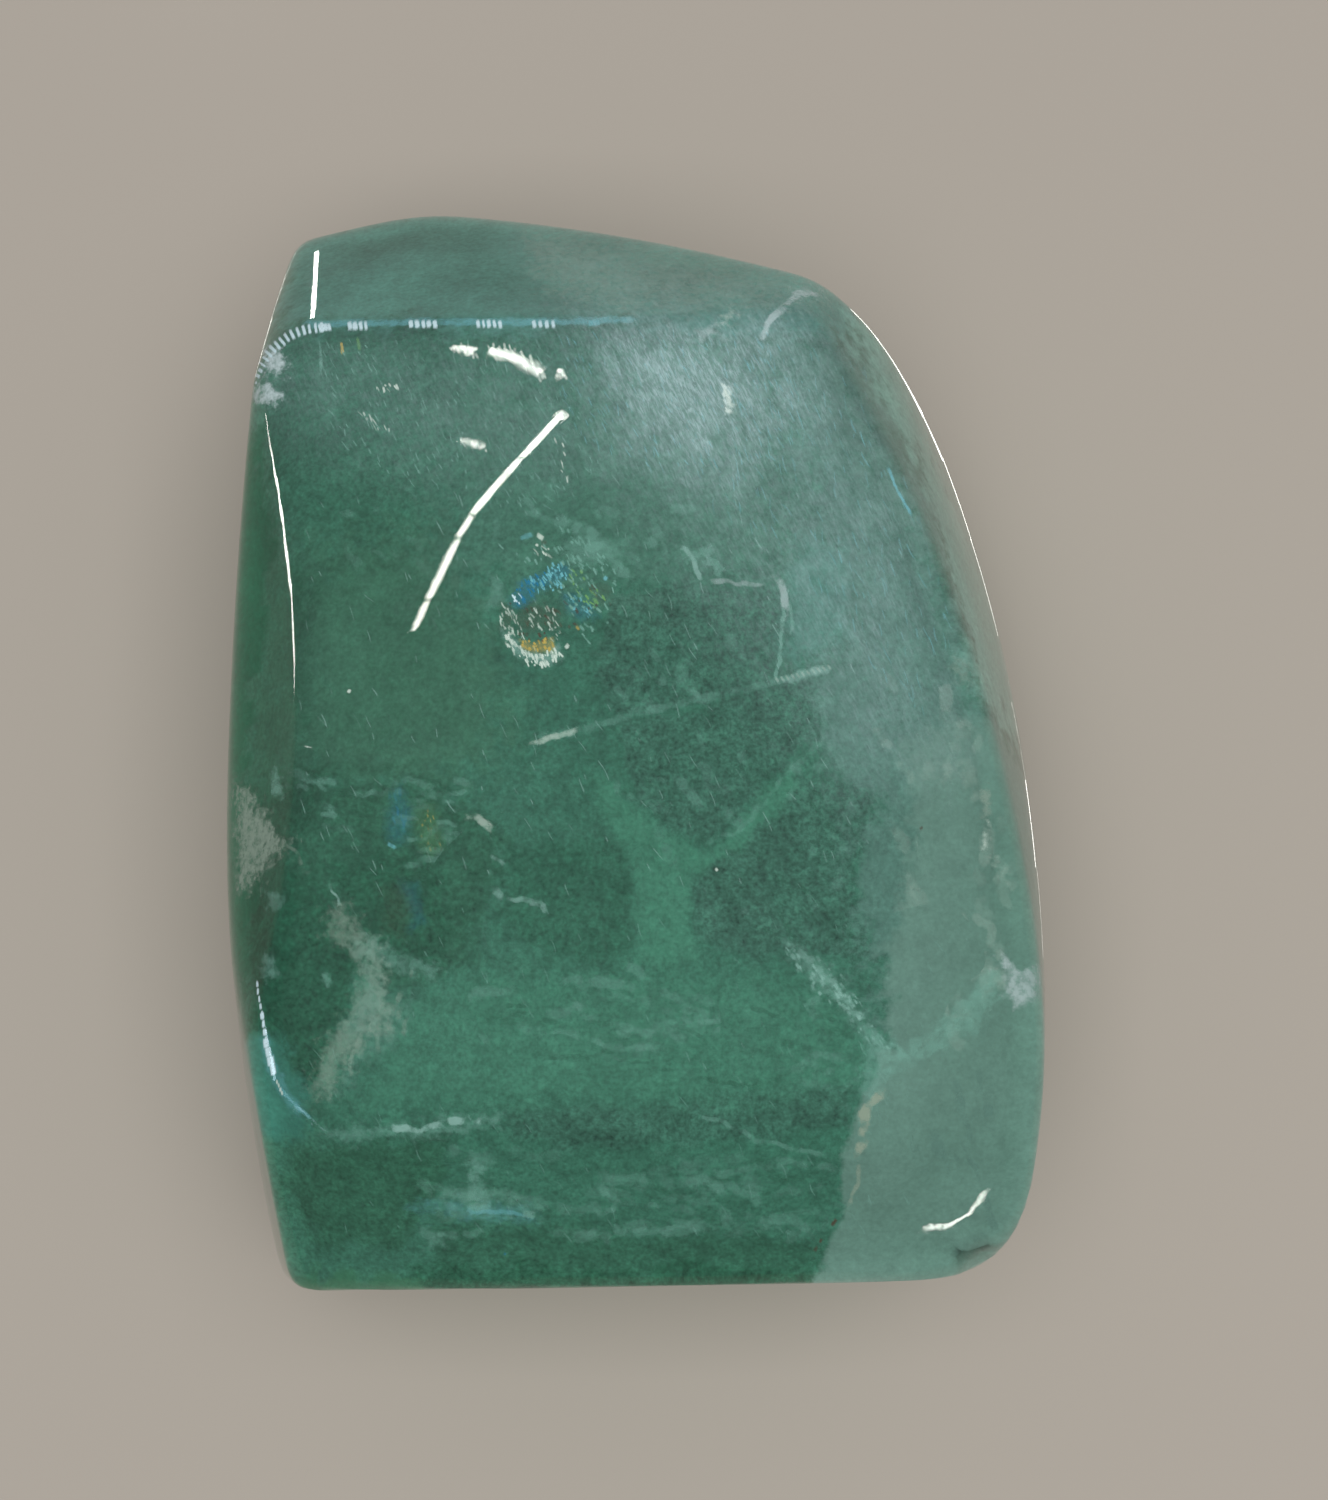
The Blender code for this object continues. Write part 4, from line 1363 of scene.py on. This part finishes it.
# How far off the lamps hang and how low, in millimetres, and the stone's middle and how far inside
# the rim a reflection has to lie, in pixels.
LAMP_DISTANCE = 500.0
LOWEST_LAMP = 2.0
STONE_MIDDLE = (650.0, 760.0)
RIM_MARGIN = 0.7
GLARES = {
    "tube_a": Glare(((560, 416), (522, 457)), 6, 45.0, WHITE_LIGHT),
    "tube_b": Glare(((519, 460), (507, 473)), 6, 45.0, WHITE_LIGHT),
    "tube_c": Glare(((504, 476), (473, 513)), 6, 45.0, WHITE_LIGHT),
    "tube_d": Glare(((471, 516), (459, 536)), 5, 45.0, WHITE_LIGHT),
    "tube_e": Glare(((457, 540), (429, 598)), 5, 45.0, WHITE_LIGHT),
    "tube_f": Glare(((427, 602), (414, 630)), 4, 45.0, WHITE_LIGHT),
    "tube_end": Glare(((557, 413), (567, 419)), 5, 40.0, WHITE_LIGHT),
    "left": Glare(((269, 430), (283, 510), (291, 590), (293.5, 630)), 0.8, 12.0, WHITE_LIGHT),
    "corner": Glare(((316, 246), (314, 280), (312, 312)), 4, 20.0, WHITE_LIGHT),
    "flake_a": Glare(((453, 345), (475, 350)), 5, 30.0, WHITE_LIGHT),
    "flake_b": Glare(((490, 350), (515, 358), (541, 373)), 7, 36.0, WHITE_LIGHT),
    "flake_c": Glare(((559, 369), (563, 378)), 4, 30.0, WHITE_LIGHT),
    "flake_d": Glare(((460, 440), (484, 447)), 3, 30.0, WHITE_LIGHT),
    "arc": Glare(((264, 1024), (269, 1050), (275, 1075)), 1.2, 7.0, BLUE_LIGHT),
    "arc_end": Glare(((282, 1090), (308, 1117), (328, 1133)), 1.2, 2.0, BLUE_LIGHT),
    "heel": Glare(((925, 1228), (950, 1226), (970, 1215), (980, 1201), (985, 1191)), 3.5, 28.0,
        WHITE_LIGHT),
    "rim": Glare(((856, 300), (880, 335), (925, 405), (952, 450), (985, 530), (1012, 630), (1024, 700),
        (1036, 780), (1046, 870), (1050, 960)), 9, 3.0, WHITE_LIGHT),
    "rim_left": Glare(((310, 236), (275, 262), (255, 310), (238, 365)), 4, 1.5, WHITE_LIGHT),
}


def on_stone(sight, pixel):
    """The pixel, moved in towards the stone's middle until it is just inside the rim."""
    pixel, middle = Vector(pixel), Vector(STONE_MIDDLE)
    inward = (middle - pixel).normalized()
    while sight.enter(*(pixel - inward * RIM_MARGIN))[0] is None:
        pixel += inward
    return pixel


def mirrored(sight, pixel):
    """Where a lamp must be to show at a pixel: out along the ray that the skin mirrors."""
    pixel = on_stone(sight, pixel)
    place, _, _ = sight.enter(*pixel)
    _, ray = picture_ray(*pixel)
    normal = Vector(skin_normals(np.array([place]) / MM - HEART)[0])
    bounced = ray - 2.0 * ray.dot(normal) * normal
    distance = LAMP_DISTANCE * MM
    if bounced.z < 0:
        distance = min(distance, (place.z - LOWEST_LAMP * MM) / -bounced.z)
    return place + bounced * distance, place


def hang_lamp(sight, name, start, end, glare):
    """A flat lamp that lights the run of pixels from start to end."""
    side = Vector((start[1] - end[1], end[0] - start[0])).normalized() * (glare.width / 2)
    middle = (Vector(start) + Vector(end)) / 2
    first, last, near, far, centre = (
        mirrored(sight, pixel)[0] for pixel in (start, end, middle - side, middle + side, middle)
    )
    target = mirrored(sight, middle)[1]
    along = last - first
    across = far - near
    across -= along * (across.dot(along) / along.length_squared)
    size = (along.length, across.length)
    # The watts that make a lamp of this size look that bright.
    watts = glare.bright * math.pi * size[0] * size[1]
    lamp = area_lamp(name, tuple(centre), tuple(target), size, watts, along)
    lamp.data.color = glare.colour
    lamp.visible_camera = False
    lamp.visible_diffuse = False
    lamp.visible_transmission = False


def hang_glares():
    sight = Sightline()
    for name, glare in GLARES.items():
        for index, (start, end) in enumerate(zip(glare.path, glare.path[1:])):
            hang_lamp(sight, f"{name}_{index}", start, end, glare)


class FLUORITE_OT_set_stage(bpy.types.Operator):
    """Sets up the pale floor, the soft light and the camera"""

    bl_idname = "fluorite.set_stage"
    bl_label = "Set the stage"

    def execute(self, context):
        colours = context.scene.fluorite_colours
        lay_floor(colours)
        stand_camera()
        world = bpy.data.worlds.new("studio")
        world.use_nodes = True
        sky = world.node_tree.nodes["Background"]
        sky.inputs["Color"].default_value = (1.0, 1.0, 1.0, 1.0)
        sky.inputs["Strength"].default_value = WORLD_STRENGTH
        context.scene.world = world
        size = (SOFTBOX_SIZE, SOFTBOX_SIZE)
        softbox = area_lamp("softbox", SOFTBOX_PLACE, (0.0, 0.0, 0.0), size, SOFTBOX_WATTS)
        softbox.visible_glossy = False
        hang_glares()
        context.scene.view_settings.view_transform = "Standard"
        return {"FINISHED"}


# ---------------------------------------------------------------- panel and start

OPERATORS = (
    FLUORITE_OT_polish_skin,
    FLUORITE_OT_grow_clouds,
    FLUORITE_OT_hang_veils,
    FLUORITE_OT_thread_veins,
    FLUORITE_OT_crack_rainbows,
    FLUORITE_OT_scratch_and_glint_skin,
    FLUORITE_OT_set_stage,
)


class FLUORITE_PT_stone(bpy.types.Panel):
    """Lists the steps that make the stone, and its colours and sizes"""

    bl_label = "Fluorite"
    bl_idname = "FLUORITE_PT_stone"
    bl_space_type = "VIEW_3D"
    bl_region_type = "UI"
    bl_category = "Fluorite"

    def draw(self, context):
        for operator in OPERATORS:
            self.layout.operator(operator.bl_idname)
        for group in (context.scene.fluorite_colours, context.scene.fluorite_sizes):
            box = self.layout.box()
            for choice in group.bl_rna.properties:
                if not choice.is_readonly:
                    box.prop(group, choice.identifier)


CLASSES = (FluoriteColours, FluoriteSizes, *OPERATORS, FLUORITE_PT_stone)


def register():
    for each in CLASSES:
        bpy.utils.register_class(each)
    bpy.types.Scene.fluorite_colours = PointerProperty(type=FluoriteColours)
    bpy.types.Scene.fluorite_sizes = PointerProperty(type=FluoriteSizes)


def unregister():
    del bpy.types.Scene.fluorite_sizes
    del bpy.types.Scene.fluorite_colours
    for each in reversed(CLASSES):
        bpy.utils.unregister_class(each)


def main():
    register()
    bpy.ops.fluorite.polish_skin()
    bpy.ops.fluorite.grow_clouds()
    bpy.ops.fluorite.hang_veils()
    bpy.ops.fluorite.thread_veins()
    bpy.ops.fluorite.crack_rainbows()
    bpy.ops.fluorite.scratch_skin()
    bpy.ops.fluorite.set_stage()


if __name__ == "__main__":
    main()
